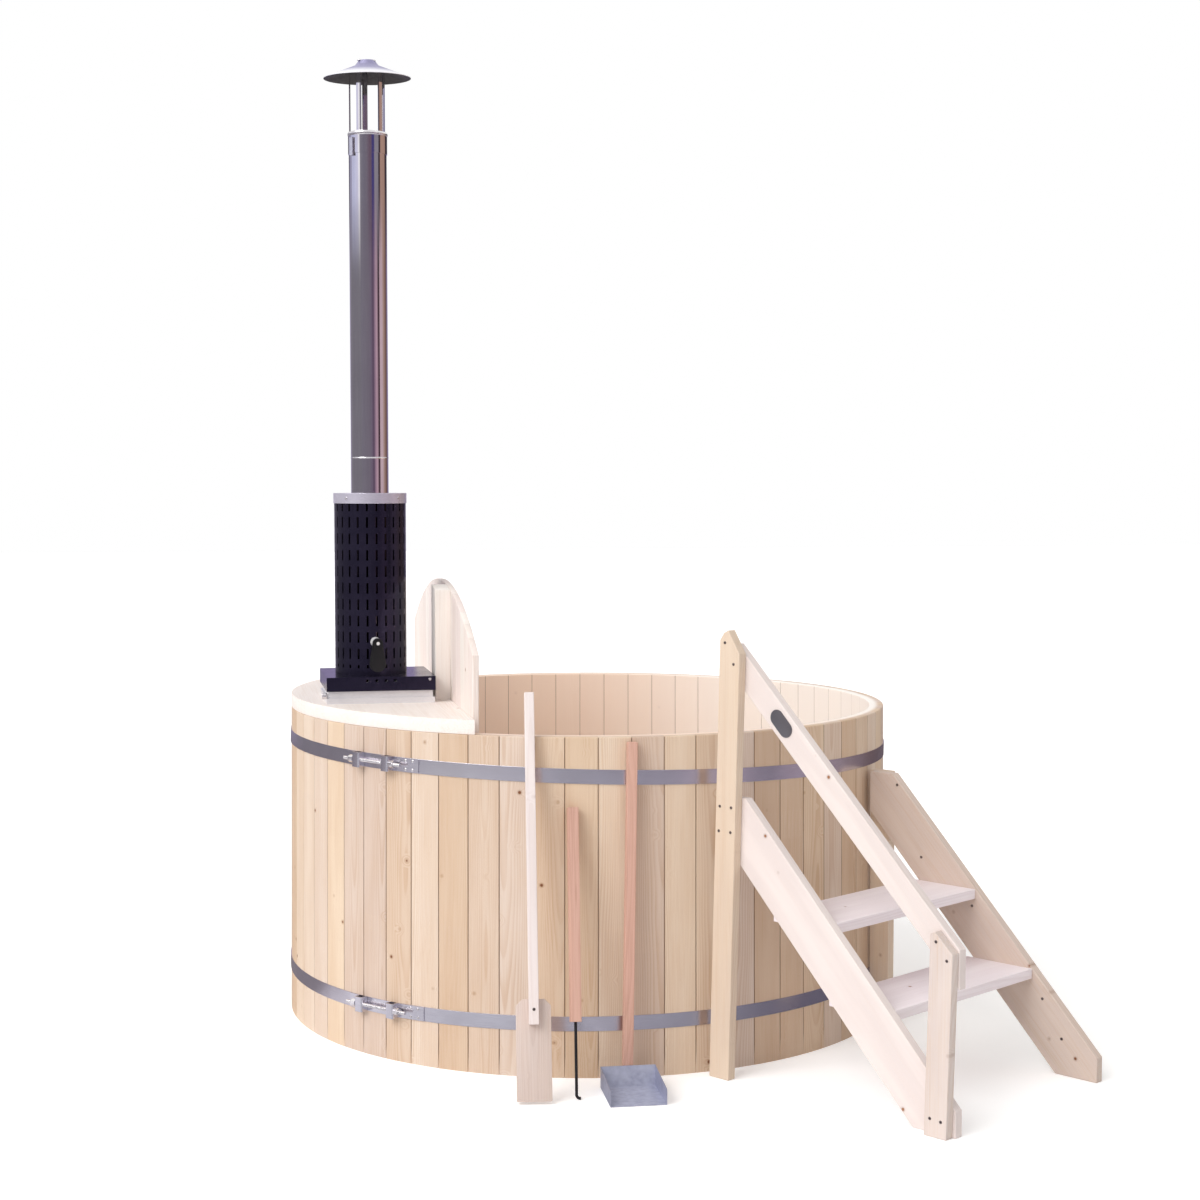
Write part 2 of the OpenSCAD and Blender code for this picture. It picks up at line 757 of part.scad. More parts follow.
module fence_boards() {
    half = chord(tub_r - stave_t, fence_off) - seat;
    w = 2 * half / fence_n;
    color("wheat") intersection() {
        for (k = [0 : fence_n - 1])
            span_box(
                [-fence_off, -half + k * w + fence_gap / 2, floor_top + fence_foot],
                [-fence_off + fence_t, -half + (k + 1) * w - fence_gap / 2, arch_top]
            );
        arch();
    }
}

// The near post goes through the deck, the far one ends under it
module fence_posts() {
    color("wheat") intersection() {
        for (side = [0, 1]) mirror([0, side, 0])
            span_box(
                [-fence_off - post_d, post_y, floor_top],
                [-fence_off, post_y + post_w, side == 0 ? tub_h : arch_top]
            );
        arch();
    }
}

module fence_rails() {
    end = chord(tub_r - stave_t, fence_off + rail_t) - seat;
    color("wheat") for (share = rail_shares) {
        z = floor_top + share * (tub_h - floor_top);
        span_box([-fence_off - rail_t, -post_y, z], [-fence_off, post_y, z + rail_h]);
        for (side = [0, 1]) mirror([0, side, 0])
            span_box([-fence_off - rail_t, post_y + post_w, z], [-fence_off, end, z + rail_h]);
    }
}

// One bench: inner boards and a rounded rear board in its part of the tub
module bench(turn) {
    r = wall_r(bench_z) - stave_t - seat;
    far = 2 * tub_r;
    back = bench_in + 2 * (bench_board_w + bench_gap);
    half_a = bench_a / 2 - bench_gap / tub_r * 90 / PI;
    rotate([0, 0, turn]) intersection() {
        translate([0, 0, bench_z - bench_t]) cylinder(r = r, h = bench_t, $fn = 360);
        translate([0, 0, bench_z - bench_t]) linear_extrude(bench_t)
            polygon([[0, 0], [far, -far * tan(half_a)], [far, far * tan(half_a)]]);
        union() {
            for (x = [bench_in, bench_in + bench_board_w + bench_gap])
                span_box([x, -tub_r, bench_z - bench_t], [x + bench_board_w, tub_r, bench_z]);
            span_box([back, -tub_r, bench_z - bench_t], [tub_r, tub_r, bench_z]);
        }
    }
}

module front_bench() {
    color("burlywood") bench(-bench_a);
}

module side_bench() {
    color("burlywood") bench(0);
}

module rear_bench() {
    color("burlywood") bench(bench_a);
}

module bench_supports() {
    r = wall_r(bench_z) - stave_t - seat;
    color("burlywood") for (turn = [-bench_a, 0, bench_a], side = [0, 1]) rotate([0, 0, turn])
        mirror([0, side, 0])
            span_box(
                [bench_in + bench_t, support_y, floor_top],
                [chord(r, support_y + bench_t), support_y + bench_t, bench_z - bench_t]
            );
}

module stove_body() {
    low = [-stove_x - stove_w / 2, -stove_front, floor_top + foot_h];
    high = [-stove_x + stove_w / 2, stove_rear, stove_top];
    wall = [sheet, sheet, sheet];
    color("silver") {
        difference() {
            span_box(low, high);
            span_box(low + wall, high - wall);
            translate([-flue_x, -flue_y, stove_top - over - sheet])
                cylinder(r = flue_bore, h = sheet + 2 * over);
            span_box(
                [-stove_x - hatch_w / 2 + sheet, hatch_y + sheet, stove_top - over - sheet],
                [-stove_x + hatch_w / 2 - sheet, hatch_y + hatch_l - sheet, stove_top + over]
            );
        }
        for (x = [low[0], high[0] - foot_w], y = [low[1], high[1] - foot_w])
            translate([x, y, floor_top]) cube([foot_w, foot_w, foot_h + sheet / 2]);
    }
}

// Round bars on two ledges across the fire chamber
module fire_grate() {
    x = stove_w / 2 - sheet - seat;
    z = floor_top + foot_h + sheet + grate_h;
    y0 = -stove_front + sheet + seat;
    y1 = stove_rear - sheet - seat;
    step = 2 * (x - grate_d) / (grate_n - 1);
    color("dimgray") translate([-stove_x, 0, 0]) {
        for (y = [y0, y1 - grate_d])
            span_box([-x, y, floor_top + foot_h + sheet + seat], [x, y + grate_d, z]);
        for (k = [0 : grate_n - 1])
            translate([-x + grate_d + k * step, y0, z - grate_d / 4]) rotate([-90, 0, 0])
                cylinder(d = grate_d, h = y1 - y0, $fn = 16);
    }
}

// The neck of the loading hatch with the fixed knuckles of its hinge
module hatch_collar() {
    wall = [sheet, sheet, 0];
    low = [-stove_x - hatch_w / 2, hatch_y, stove_top + seat];
    high = [-stove_x + hatch_w / 2, hatch_y + hatch_l, hatch_top];
    color("silver") {
        difference() {
            span_box(low, high);
            span_box(low + wall - [0, 0, over], high - wall + [0, 0, over]);
        }
        for (y = knuckle_ys) difference() {
            union() {
                span_box(
                    [high[0] - sheet / 2, y, hatch_top - knuckle_d],
                    [hinge_x, y + knuckle_l, hatch_top - seat]
                );
                translate([hinge_x, y, hinge_z]) rotate([-90, 0, 0]) cylinder(d = knuckle_d, h = knuckle_l);
            }
            translate([hinge_x, y - over, hinge_z]) rotate([-90, 0, 0])
                cylinder(d = pin_d + 2 * fit, h = knuckle_l + 2 * over);
        }
    }
}

module hatch_pins() {
    color("gainsboro") for (y = knuckle_ys)
        translate([hinge_x, y - knuckle_l, hinge_z]) rotate([-90, 0, 0])
            cylinder(d = pin_d, h = 2 * knuckle_l);
}

module hatch_lid() {
    low = [-stove_x - hatch_w / 2 - lid_lip, hatch_y - lid_lip, lid_z];
    high = [-stove_x + hatch_w / 2 + lid_lip / 4, hatch_y + hatch_l + lid_lip, lid_z + lid_t];
    color("silver") {
        span_box(low, high);
        for (y = knuckle_ys) difference() {
            union() {
                span_box(
                    [high[0] - lid_lip, y - knuckle_l + seat, lid_z],
                    [hinge_x, y - seat, lid_z + lid_t]
                );
                translate([hinge_x, y - knuckle_l + seat, hinge_z]) rotate([-90, 0, 0])
                    cylinder(d = knuckle_d, h = knuckle_l - 2 * seat);
            }
            translate([hinge_x, y - knuckle_l - over, hinge_z]) rotate([-90, 0, 0])
                cylinder(d = pin_d + 2 * fit, h = knuckle_l + 2 * over);
        }
    }
}

module hatch_knob() {
    neck = knob_d / 2;
    color("black") translate([-stove_x - hatch_w / 4, hatch_y + hatch_l / 2, lid_z + lid_t]) {
        cylinder(d = neck, h = knob_h / 2, $fn = 32);
        translate([0, 0, knob_h / 2]) rotate_extrude($fn = 48)
            polygon([
                [0, 0], [neck / 2, 0], [knob_d / 2, knob_h / 6], [knob_d / 2, knob_h / 3],
                [neck / 2, knob_h / 2], [0, knob_h / 2]
            ]);
    }
}

module vent_holes(y, l) {
    for (k = [0 : vent_n - 1])
        translate([-stove_x + (k - (vent_n - 1) / 2) * vent_pitch, y - over, vent_z])
            rotate([-90, 0, 0]) cylinder(d = vent_d, h = l + 2 * over, $fn = 24);
}

module stove_flange() {
    hole = flange_top_w - 2 * flange_t;
    rim_h = cover_top - cover_t - seat - deck_top;
    color("silver") difference() {
        translate([-stove_x, -flange_y, deck_top]) {
            translate([-flange_w / 2, -flange_w / 2, 0]) cube([flange_w, flange_w, flange_step_h]);
            translate([-flange_top_w / 2, -flange_top_w / 2, 0]) cube([flange_top_w, flange_top_w, rim_h]);
        }
        translate([-stove_x - hole / 2, -flange_y - hole / 2, deck_top - over])
            cube([hole, hole, rim_h + 2 * over]);
        vent_holes(flange_front, flange_t);
        translate([-stove_x - flange_w / 2 - over, air_rod_y, air_rod_z]) rotate([0, 90, 0])
            cylinder(d = air_rod_d + 2 * fit, h = flange_w / 2);
    }
}

module stove_cover() {
    color([0.1, 0.09, 0.12]) difference() {
        translate([-stove_x - cover_w / 2, -flange_y - cover_w / 2, cover_z])
            cube([cover_w, cover_w, cover_h]);
        translate([-stove_x - cover_w / 2 + cover_t, -flange_y - cover_w / 2 + cover_t, cover_z - over])
            cube([cover_w - 2 * cover_t, cover_w - 2 * cover_t, cover_h - cover_t + over]);
        translate([-flue_x, -flue_y, cover_z]) cylinder(r = flue_r + seat, h = cover_h + over);
        vent_holes(-flange_y - cover_w / 2, cover_t);
    }
}

// A turn of the damper's frame: its spindle runs along -Y through the flue's axis
module at_damper() {
    translate([-flue_x, -flue_y, damper_z]) rotate([0, 0, damper_turn]) children();
}

module lower_flue() {
    color("silver") difference() {
        flue_ring(flue_bore, flue_r, stove_top + seat, flue_joint_z);
        at_damper() rotate([90, 0, 0]) translate([0, 0, -flue_d])
            cylinder(d = spindle_d + 2 * fit, h = 2 * flue_d);
    }
}

module upper_flue() {
    inner = flue_bore - seat;
    color("silver") translate([-flue_x, -flue_y, 0]) difference() {
        union() {
            translate([0, 0, flue_joint_z]) cylinder(r = flue_r, h = flue_top_z - flue_joint_z, $fn = 96);
            translate([0, 0, flue_joint_z - spigot_l]) cylinder(r = inner, h = 2 * spigot_l, $fn = 96);
        }
        translate([0, 0, flue_joint_z - spigot_l - over])
            cylinder(r = inner - flue_t, h = flue_top_z - flue_joint_z + spigot_l + 2 * over, $fn = 96);
        translate([0, 0, flue_joint_z + spigot_l])
            cylinder(r = flue_bore, h = flue_top_z - flue_joint_z, $fn = 96);
    }
}

// A ring round the flue's axis, from the radius r0 to r1 and from z0 to z1
module flue_ring(r0, r1, z0, z1) {
    translate([-flue_x, -flue_y, 0]) rotate_extrude($fn = 96)
        translate([r0, z0]) square([r1 - r0, z1 - z0]);
}

module flue_band() {
    color("silver") flue_ring(flue_r + seat, flue_r + seat + strap_t, flue_top_z - band_h, flue_top_z);
}

module heat_shield() {
    z0 = cover_top + seat;
    z1 = collar_z - collar_t - seat;
    color([0.1, 0.09, 0.12]) difference() {
        flue_ring(shield_r - shield_t, shield_r, z0, z1);
        translate([-flue_x, -flue_y, 0])
            for (row = [0 : slot_rows - 1], col = [0 : slot_cols / 2 - 1]) {
                z = cover_top + slot_low + row * slot_pitch;
                low = max(z - slot_h / 2, z0 + shield_foot);
                rotate([0, 0, slot_turn + col * 360 / slot_cols])
                    span_box([-shield_d, -slot_w / 2, low], [shield_d, slot_w / 2, z + slot_h / 2]);
            }
        at_damper() rotate([90, 0, 0]) translate([0, 0, -flue_r])
            cylinder(d = spindle_d + 2 * shield_hole_room, h = flue_r + shield_d);
    }
}

module shield_collar() {
    r0 = shield_r + seat;
    color("silver") {
        flue_ring(flue_r + seat, r0 + collar_t, collar_z - collar_t, collar_z);
        flue_ring(r0, r0 + collar_t, collar_z - collar_h, collar_z);
    }
}

module collar_screws() {
    r = shield_r + seat + collar_t;
    color("gainsboro") translate([-flue_x, -flue_y, collar_z - collar_h / 2])
        for (a = [45 : 90 : 315]) rotate([90, 0, a])
            translate([0, 0, r + seat / 4]) cylinder(d = screw_d, h = screw_h, $fn = 24);
}

// The frame of the rain cap, which sits a little askew on the flue
module at_cap() {
    translate([-flue_x, -flue_y, cap_z]) rotate([cap_nod, -cap_sway, 0]) children();
}

// Flat strips that stand in the mouth of the flue and end just under the cap
module cap_legs() {
    r = flue_bore - seat;
    half_a = cap_leg_w / 2 / r * 180 / PI;
    h = cap_lift + cap_rise + spigot_l;
    color("silver") difference() {
        translate([-flue_x, -flue_y, flue_top_z - spigot_l]) for (k = [0 : cap_leg_n - 1])
            rotate([0, 0, cap_leg_turn - 90 + k * 360 / cap_leg_n - half_a])
                rotate_extrude(angle = 2 * half_a, $fn = 96) translate([r - strap_t, 0]) square([strap_t, h]);
        at_cap() rotate_extrude($fn = 96)
            polygon([
                [cap_d / 2, -seat], [crown_d / 2 - cap_t, cap_rise - seat], [0, cap_rise - seat],
                [0, h], [cap_d / 2, h]
            ]);
    }
}

module rain_cap() {
    r = cap_d / 2;
    c = crown_d / 2;
    top = cap_rise + crown_h;
    color("silver") at_cap() rotate_extrude($fn = 96)
        polygon([
            [r, 0], [r, cap_t], [c, cap_rise + cap_t], [2 * c / 3, top], [0, top],
            [0, top - cap_t], [2 * c / 3 - cap_t, top - cap_t], [c - cap_t, cap_rise]
        ]);
}

module damper_spindle() {
    start = shield_r + seat;
    tail = flue_r + spindle_d;
    color("gainsboro") at_damper() rotate([90, 0, 0]) {
        translate([0, 0, -tail]) cylinder(d = spindle_d, h = tail + start + hub_l + lever_cap_l);
        translate([0, 0, start]) cylinder(d = hub_d, h = hub_l - lever_t);
    }
}

// The plate hangs edge on, beside the spindle, when the damper is open
module damper_plate() {
    r = flue_bore - damper_room;
    color("dimgray") at_damper() translate([spindle_d / 2 + seat / 4, 0, 0]) rotate([0, 90, 0])
        cylinder(r = r - spindle_d / 2, h = damper_t, $fn = 96);
}

module damper_lever() {
    start = shield_r + seat + hub_l - lever_t;
    foot = lever_w / 2;
    color("black") at_damper() rotate([90, 0, 0]) difference() {
        union() {
            translate([0, 0, start]) linear_extrude(lever_t) {
                circle(d = hub_d, $fn = 48);
                translate([0, -lever_l + foot]) circle(foot, $fn = 48);
                polygon([
                    [-hub_d / 2, 0], [hub_d / 2, 0],
                    [foot, -lever_l + foot], [-foot, -lever_l + foot]
                ]);
            }
            translate([0, 0, start]) cylinder(d = hub_d + fit, h = lever_t + lever_cap_l - seat);
        }
        translate([0, 0, start - over])
            cylinder(d = spindle_d + 2 * fit, h = lever_t + lever_cap_l + 2 * over);
    }
}

module air_shutter() {
    l = (vent_n + 1) * vent_pitch;
    left = -stove_x - l / 2;
    low = deck_top + flange_step_h;
    color("silver") {
        difference() {
            span_box(
                [left, shutter_y, low],
                [left + l, shutter_y + cover_t, cover_top - cover_t - 2 * seat]
            );
            vent_holes(shutter_y, cover_t);
        }
        translate([-stove_x - flange_w / 2 - air_knob_l, air_rod_y, air_rod_z]) rotate([0, 90, 0])
            cylinder(d = air_rod_d, h = left + stove_x + flange_w / 2 + air_knob_l + vent_pitch);
    }
}

module air_knob() {
    x = -stove_x - flange_w / 2 - seat;
    color("gray") translate([x - air_knob_l, air_rod_y, air_rod_z]) rotate([0, 90, 0]) difference() {
        cylinder(d = air_knob_d, h = air_knob_l, $fn = 32);
        translate([0, 0, -over]) cylinder(d = air_rod_d + 2 * fit, h = air_knob_l + 2 * over);
    }
}

// The drain pipe: an inlet with its flange in the floor, an elbow and a pipe through the wall
module drain_pipe() {
    out = wall_r(drain_z) + drain_out;
    flange_d = 2 * drain_d;
    bore_top = floor_top + strap_t + over;
    color("gray") at(drain_a) difference() {
        union() {
            translate([0, -drain_r, drain_z]) cylinder(d = drain_d, h = floor_top - drain_z);
            translate([0, -drain_r, drain_z]) sphere(d = drain_d);
            translate([0, -drain_r, floor_top + seat / 4]) cylinder(d = flange_d, h = strap_t);
            translate([0, -drain_r, floor_top - over]) cylinder(d = drain_d, h = over + strap_t);
            translate([0, -drain_r, drain_z]) rotate([90, 0, 0]) cylinder(d = drain_d, h = out - drain_r);
        }
        translate([0, -drain_r, drain_z]) cylinder(d = drain_bore, h = bore_top - drain_z);
        translate([0, -drain_r, drain_z]) sphere(d = drain_bore);
        translate([0, -drain_r, drain_z]) rotate([90, 0, 0])
            cylinder(d = drain_bore, h = out - drain_r + over);
    }
}

// The drain's place of the valve: its ball's centre, with the water running along -Y
module at_valve() {
    at(drain_a) translate([0, -wall_r(drain_z) - drain_out - valve_l / 2, drain_z]) children();
}

module drain_valve() {
    w = valve_w;
    color("goldenrod") at_valve() difference() {
        union() {
            translate([-w / 2, -valve_l / 2, -w / 2]) cube([w, valve_l, w]);
            translate([0, -valve_l / 2, 0]) rotate([90, 0, 0]) cylinder(d = nozzle_d, h = nozzle_l);
        }
        sphere(d = ball_d + 2 * ball_room);
        rotate([90, 0, 0]) translate([0, 0, -valve_l]) cylinder(d = ball_bore, h = 2 * valve_l + nozzle_l);
        cylinder(d = stem_d + 2 * fit, h = valve_w);
    }
}

// The ball stands across the pipe when the lever does: the drain is closed at rest
module valve_ball() {
    stem = ball_d / 3;
    color("silver") at_valve() {
        difference() {
            sphere(d = ball_d);
            rotate([0, 90, 0]) translate([0, 0, -ball_d]) cylinder(d = ball_bore, h = 2 * ball_d);
        }
        translate([0, 0, stem]) cylinder(d = stem_d, h = valve_w / 2 + stem_hub_h - stem);
    }
}

module valve_lever() {
    color("firebrick") at_valve() translate([0, 0, valve_w / 2 + seat]) difference() {
        union() {
            cylinder(d = stem_hub_d, h = stem_hub_h - 2 * seat);
            translate([0, -valve_lever_w / 2, stem_hub_h / 2])
                cube([valve_lever_l, valve_lever_w, valve_lever_t]);
        }
        translate([0, 0, -over]) cylinder(d = stem_d + 2 * fit, h = stem_hub_h + 2 * over);
    }
}

// The stairs' frame: x runs away from the tub, y goes across, away from the near side.
// Its children are flat outlines in (distance, height), t thick from the place y on.
module stair_board(y, t) {
    rotate([0, 0, stairs_turn]) translate([wall_s, y + t, 0]) rotate([90, 0, 0]) linear_extrude(t) children();
}

module stringer_outline() {
    drop = stringer_w / cos(stair_slope);
    foot = stair_reach - drop / slope_up;
    polygon([
        [stringer_back, stringer_top], [stair_reach - stringer_top / slope_up, stringer_top],
        [stringer_front, stringer_z(stringer_front)], [stringer_front, 0], [foot, 0],
        [stringer_back, stringer_z(stringer_back) - drop]
    ]);
}

module near_stringer() {
    color("wheat") stair_board(-near_side, stair_t) stringer_outline();
}

module far_stringer() {
    color("wheat") stair_board(far_side, stair_t) stringer_outline();
}

// A leaning post on the near stringer's outer face: shares are the corners of its top
module near_post(s, w, h, shares) {
    shift = tan(post_lean) * h;
    color("wheat") stair_board(-near_side - stair_t, stair_t)
        polygon(concat(
            [[s, 0], [s + w, 0]],
            [for (share = shares) [s + share[0] * w + shift, h - share[1] * w]]
        ));
}

module tall_post() {
    near_post(tall_post_s, tall_post_w, tall_post_h, tall_top_shares);
}

module short_post() {
    near_post(short_post_s, short_post_w, short_post_h, short_top_shares);
}

// The rear post stands behind the far stringer and leans on the lower hoop
module rear_post() {
    y = far_side + stair_t;
    s = chord(band_r(1, -hoop_w / 2) + hoop_t, y) + seat - wall_s;
    color("wheat") stair_board(y, stair_t)
        translate([s, 0]) square([tall_post_w, stringer_top]);
}

module tread(top) {
    front = wall_s + stair_reach - top / slope_up;
    y = -near_side + stair_t;
    rotate([0, 0, stairs_turn])
        span_box([front - tread_d, y, top - stair_t], [front, far_side, top]);
}

module upper_tread() {
    color("wheat") tread(upper_tread_z);
}

module lower_tread() {
    color("wheat") tread(lower_tread_z);
}

module handrail() {
    drop = handrail_w / cos(handrail_slope);
    back_z = handrail_z(handrail_back);
    front_z = handrail_z(handrail_front);
    color("wheat") stair_board(-near_side, stair_t)
        polygon([
            [handrail_back, back_z], [handrail_front, front_z],
            [handrail_front, front_z - drop], [handrail_back, back_z - drop]
        ]);
}

// A blank oval plate: two round ends and a straight middle
module oval_plate() {
    r = oval_w / 2;
    z = handrail_z(oval_s) - handrail_w / cos(handrail_slope) / 2;
    color("gray") stair_board(-near_side - oval_t, oval_t)
        translate([oval_s, z]) rotate(-handrail_slope) {
            square([oval_l - oval_w, oval_w], center = true);
            for (side = [-1, 1]) translate([side * (oval_l - oval_w) / 2, 0]) circle(r, $fn = 64);
        }
}

module screw_at(s, z, y) {
    stair_board(y - screw_h, screw_h) translate([s, z]) circle(d = screw_d, $fn = 24);
}

module stair_screws() {
    face = -near_side - stair_t;
    lean = tan(post_lean);
    color("dimgray") {
        for (share = tall_screw_shares) {
            z = tall_post_h * (1 - share[1]);
            screw_at(tall_post_s + tall_post_w * share[0] + lean * z, z, face);
        }
        for (share = short_screw_shares) {
            z = short_post_h * (1 - share[1]);
            screw_at(short_post_s + short_post_w * share[0] + lean * z, z, face);
        }
        for (share = far_screw_shares) {
            z = stringer_top * share[0];
            drop = stringer_w / cos(stair_slope) * share[1];
            screw_at(stair_reach - (z + drop) / slope_up, z, far_side);
        }
    }
}

// Lean of a straight tool whose back, b behind its axis, rests on the edge at (r, h)
function lean_on(foot, r, h, b) = acos(b / norm([foot - r, h])) - atan2(h, foot - r);
// Lean of a tool of length l whose top back corner rests on a wall of radius r
function lean_top(foot, r, l, b) = asin((foot - r) / norm([l, b])) - atan2(b, l);
// Distance from the axis of a rectangle w by t, turned by a, to its rearmost corner
function back_of(w, t, a) = w / 2 * sin(a) + t / 2 * cos(a);

// The frame of a leaning tool: z runs up its axis, and its lowest corner meets the ground
module leaning(turn, foot, lean, roll, yaw, lift) {
    at(turn) translate([0, -foot, 0]) rotate([-lean, roll, 0]) translate([0, 0, lift])
        rotate([0, 0, yaw]) children();
}

paddle_foot = tub_r + paddle_out;
poker_foot = tub_r + poker_out;
shovel_foot = tub_r + shovel_out;
paddle_back = back_of(paddle_grip, paddle_grip, paddle_yaw) + seat;
// The paddle leans on the lower corner of the rim's bevel
paddle_lean = lean_on(paddle_foot, tub_r, tub_h - rim_bevel, paddle_back);
// The rearmost corner of the blade, which stands on the ground
blade_back = back_of(blade_w, paddle_grip, paddle_yaw) + blade_t * cos(paddle_yaw);
paddle_lift = blade_back * tan(paddle_lean) + blade_w / 2 * tan(abs(paddle_roll));
poker_lean = lean_top(poker_foot, wall_r(poker_l) + 2 * seat, poker_l, back_of(grip, grip, poker_yaw));
poker_lift = poker_d / 2 * tan(poker_lean) + seat;
shovel_lean = lean_top(shovel_foot, wall_r(shovel_l) + seat, shovel_l, back_of(grip, grip, shovel_yaw));

module at_paddle() {
    leaning(paddle_turn, paddle_foot, paddle_lean, paddle_roll, paddle_yaw, paddle_lift) children();
}

module paddle_blade() {
    b = blade_w * blade_bevel_share;
    color("wheat") at_paddle() translate([0, paddle_grip / 2 + blade_t, 0]) rotate([90, 0, 0])
        linear_extrude(blade_t)
            polygon([
                [-blade_w / 2, 0], [blade_w / 2, 0], [blade_w / 2, blade_h - b], [blade_w / 2 - b, blade_h],
                [-blade_w / 2 + b, blade_h], [-blade_w / 2, blade_h - b]
            ]);
}

module paddle_handle() {
    color("wheat") at_paddle()
        translate([-paddle_grip / 2, -paddle_grip / 2, paddle_lap])
            cube([paddle_grip, paddle_grip, paddle_l - paddle_lap - paddle_lift]);
}

module paddle_screw() {
    color("dimgray") at_paddle()
        translate([0, -paddle_grip / 2, paddle_lap + 3 * paddle_grip / 2]) rotate([90, 0, 0])
            cylinder(d = screw_d, h = screw_h, $fn = 24);
}

module at_poker() {
    leaning(poker_turn, poker_foot, poker_lean, poker_roll, poker_yaw, poker_lift) children();
}

module poker_handle() {
    color("rosybrown") at_poker() difference() {
        translate([-grip / 2, -grip / 2, poker_rod_l]) cube([grip, grip, poker_l - poker_rod_l]);
        translate([0, 0, poker_rod_l - over]) cylinder(d = poker_d + 2 * fit, h = poker_lap + over);
    }
}

// The iron rod, bent to a short hook that points to the right
module poker_rod() {
    z = hook_r + poker_d / 2;
    color("black") at_poker() {
        translate([0, 0, z]) cylinder(d = poker_d, h = poker_rod_l + poker_lap - z - seat, $fn = 32);
        translate([hook_r, 0, z]) rotate([-90, 0, 0]) rotate([0, 0, 90])
            rotate_extrude(angle = 90, $fn = 64) translate([hook_r, 0]) circle(d = poker_d, $fn = 32);
        translate([hook_r, 0, poker_d / 2]) rotate([0, 90, 0]) cylinder(d = poker_d, h = hook_tip, $fn = 32);
    }
}

// The scoop's rear wall stands just in front of the foot of its handle
scoop_y = shovel_foot + (grip / 2 + seat) / cos(shovel_lean) + back_of(grip, 0, shovel_yaw);

module shovel_handle() {
    foot = scoop_t + seat;
    color("rosybrown") leaning(shovel_turn, shovel_foot, shovel_lean, shovel_roll, shovel_yaw, foot)
        translate([-grip / 2, -grip / 2, 0]) cube([grip, grip, shovel_l - foot]);
}

module scoop() {
    w = scoop_w / 2;
    color("lightsteelblue") at(shovel_turn) translate([0, -scoop_y, 0]) rotate([0, 0, shovel_yaw])
        difference() {
            translate([-w, 0, 0]) rotate([90, 0, 90]) linear_extrude(scoop_w)
                polygon([[0, 0], [0, scoop_h], [-scoop_l, scoop_front_h], [-scoop_l, 0]]);
            span_box([-w + scoop_t, -scoop_l - over, scoop_t], [w - scoop_t, -scoop_t, scoop_h + over]);
        }
}

wall_staves();
floor_boards();
floor_bearers();
upper_hoop();
lower_hoop();
tension_lugs();
tension_rods();
tension_nuts();
hoop_rivets();
deck_boards();
deck_battens();
fence_boards();
fence_posts();
fence_rails();
front_bench();
side_bench();
rear_bench();
bench_supports();
stove_body();
fire_grate();
hatch_collar();
stove_flange();
stove_cover();
lower_flue();
upper_flue();
flue_band();
heat_shield();
shield_collar();
collar_screws();
cap_legs();
rain_cap();
hatch_pins();
drain_pipe();
drain_valve();
damper_spindle();
damper_plate();
damper_lever();
hatch_lid();
hatch_knob();
air_shutter();
air_knob();
valve_ball();
valve_lever();
near_stringer();
far_stringer();
tall_post();
short_post();
rear_post();
upper_tread();
lower_tread();
handrail();
oval_plate();
stair_screws();
paddle_blade();
paddle_handle();
paddle_screw();
poker_handle();
poker_rod();
scoop();
shovel_handle();
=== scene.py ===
import json
import math

import bmesh
import bpy
import numpy as np
from mathutils import Matrix, Vector

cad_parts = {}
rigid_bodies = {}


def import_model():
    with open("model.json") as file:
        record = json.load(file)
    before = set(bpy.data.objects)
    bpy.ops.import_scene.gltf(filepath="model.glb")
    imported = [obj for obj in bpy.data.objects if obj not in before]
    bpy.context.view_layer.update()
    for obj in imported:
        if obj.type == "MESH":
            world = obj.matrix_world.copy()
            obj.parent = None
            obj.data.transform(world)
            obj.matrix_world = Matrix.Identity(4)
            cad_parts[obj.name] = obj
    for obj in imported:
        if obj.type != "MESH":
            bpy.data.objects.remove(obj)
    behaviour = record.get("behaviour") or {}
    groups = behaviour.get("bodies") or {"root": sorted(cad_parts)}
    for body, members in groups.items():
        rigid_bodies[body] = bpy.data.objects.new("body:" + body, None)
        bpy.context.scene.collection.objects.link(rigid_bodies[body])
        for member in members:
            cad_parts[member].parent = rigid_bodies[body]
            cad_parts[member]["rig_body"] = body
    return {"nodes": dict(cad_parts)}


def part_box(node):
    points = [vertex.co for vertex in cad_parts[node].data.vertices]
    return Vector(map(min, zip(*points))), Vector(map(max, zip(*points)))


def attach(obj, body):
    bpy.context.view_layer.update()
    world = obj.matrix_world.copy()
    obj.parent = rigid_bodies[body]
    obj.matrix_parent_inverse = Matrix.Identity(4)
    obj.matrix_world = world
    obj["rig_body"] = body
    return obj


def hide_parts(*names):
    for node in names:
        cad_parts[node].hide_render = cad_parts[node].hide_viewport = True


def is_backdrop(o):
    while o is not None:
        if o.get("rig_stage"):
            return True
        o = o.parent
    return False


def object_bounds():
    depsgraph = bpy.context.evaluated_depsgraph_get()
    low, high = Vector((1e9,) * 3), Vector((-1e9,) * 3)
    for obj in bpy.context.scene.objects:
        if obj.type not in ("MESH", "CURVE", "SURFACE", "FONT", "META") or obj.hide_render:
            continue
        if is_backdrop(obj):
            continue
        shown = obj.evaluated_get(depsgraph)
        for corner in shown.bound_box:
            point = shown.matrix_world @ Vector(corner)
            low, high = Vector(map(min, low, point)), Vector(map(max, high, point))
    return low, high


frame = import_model()
nodes = frame["nodes"]
cadLow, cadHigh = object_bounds()
print("frame loaded:", len(nodes), "nodes")

mm = 0.001
upward = Vector((0, 0, 1))
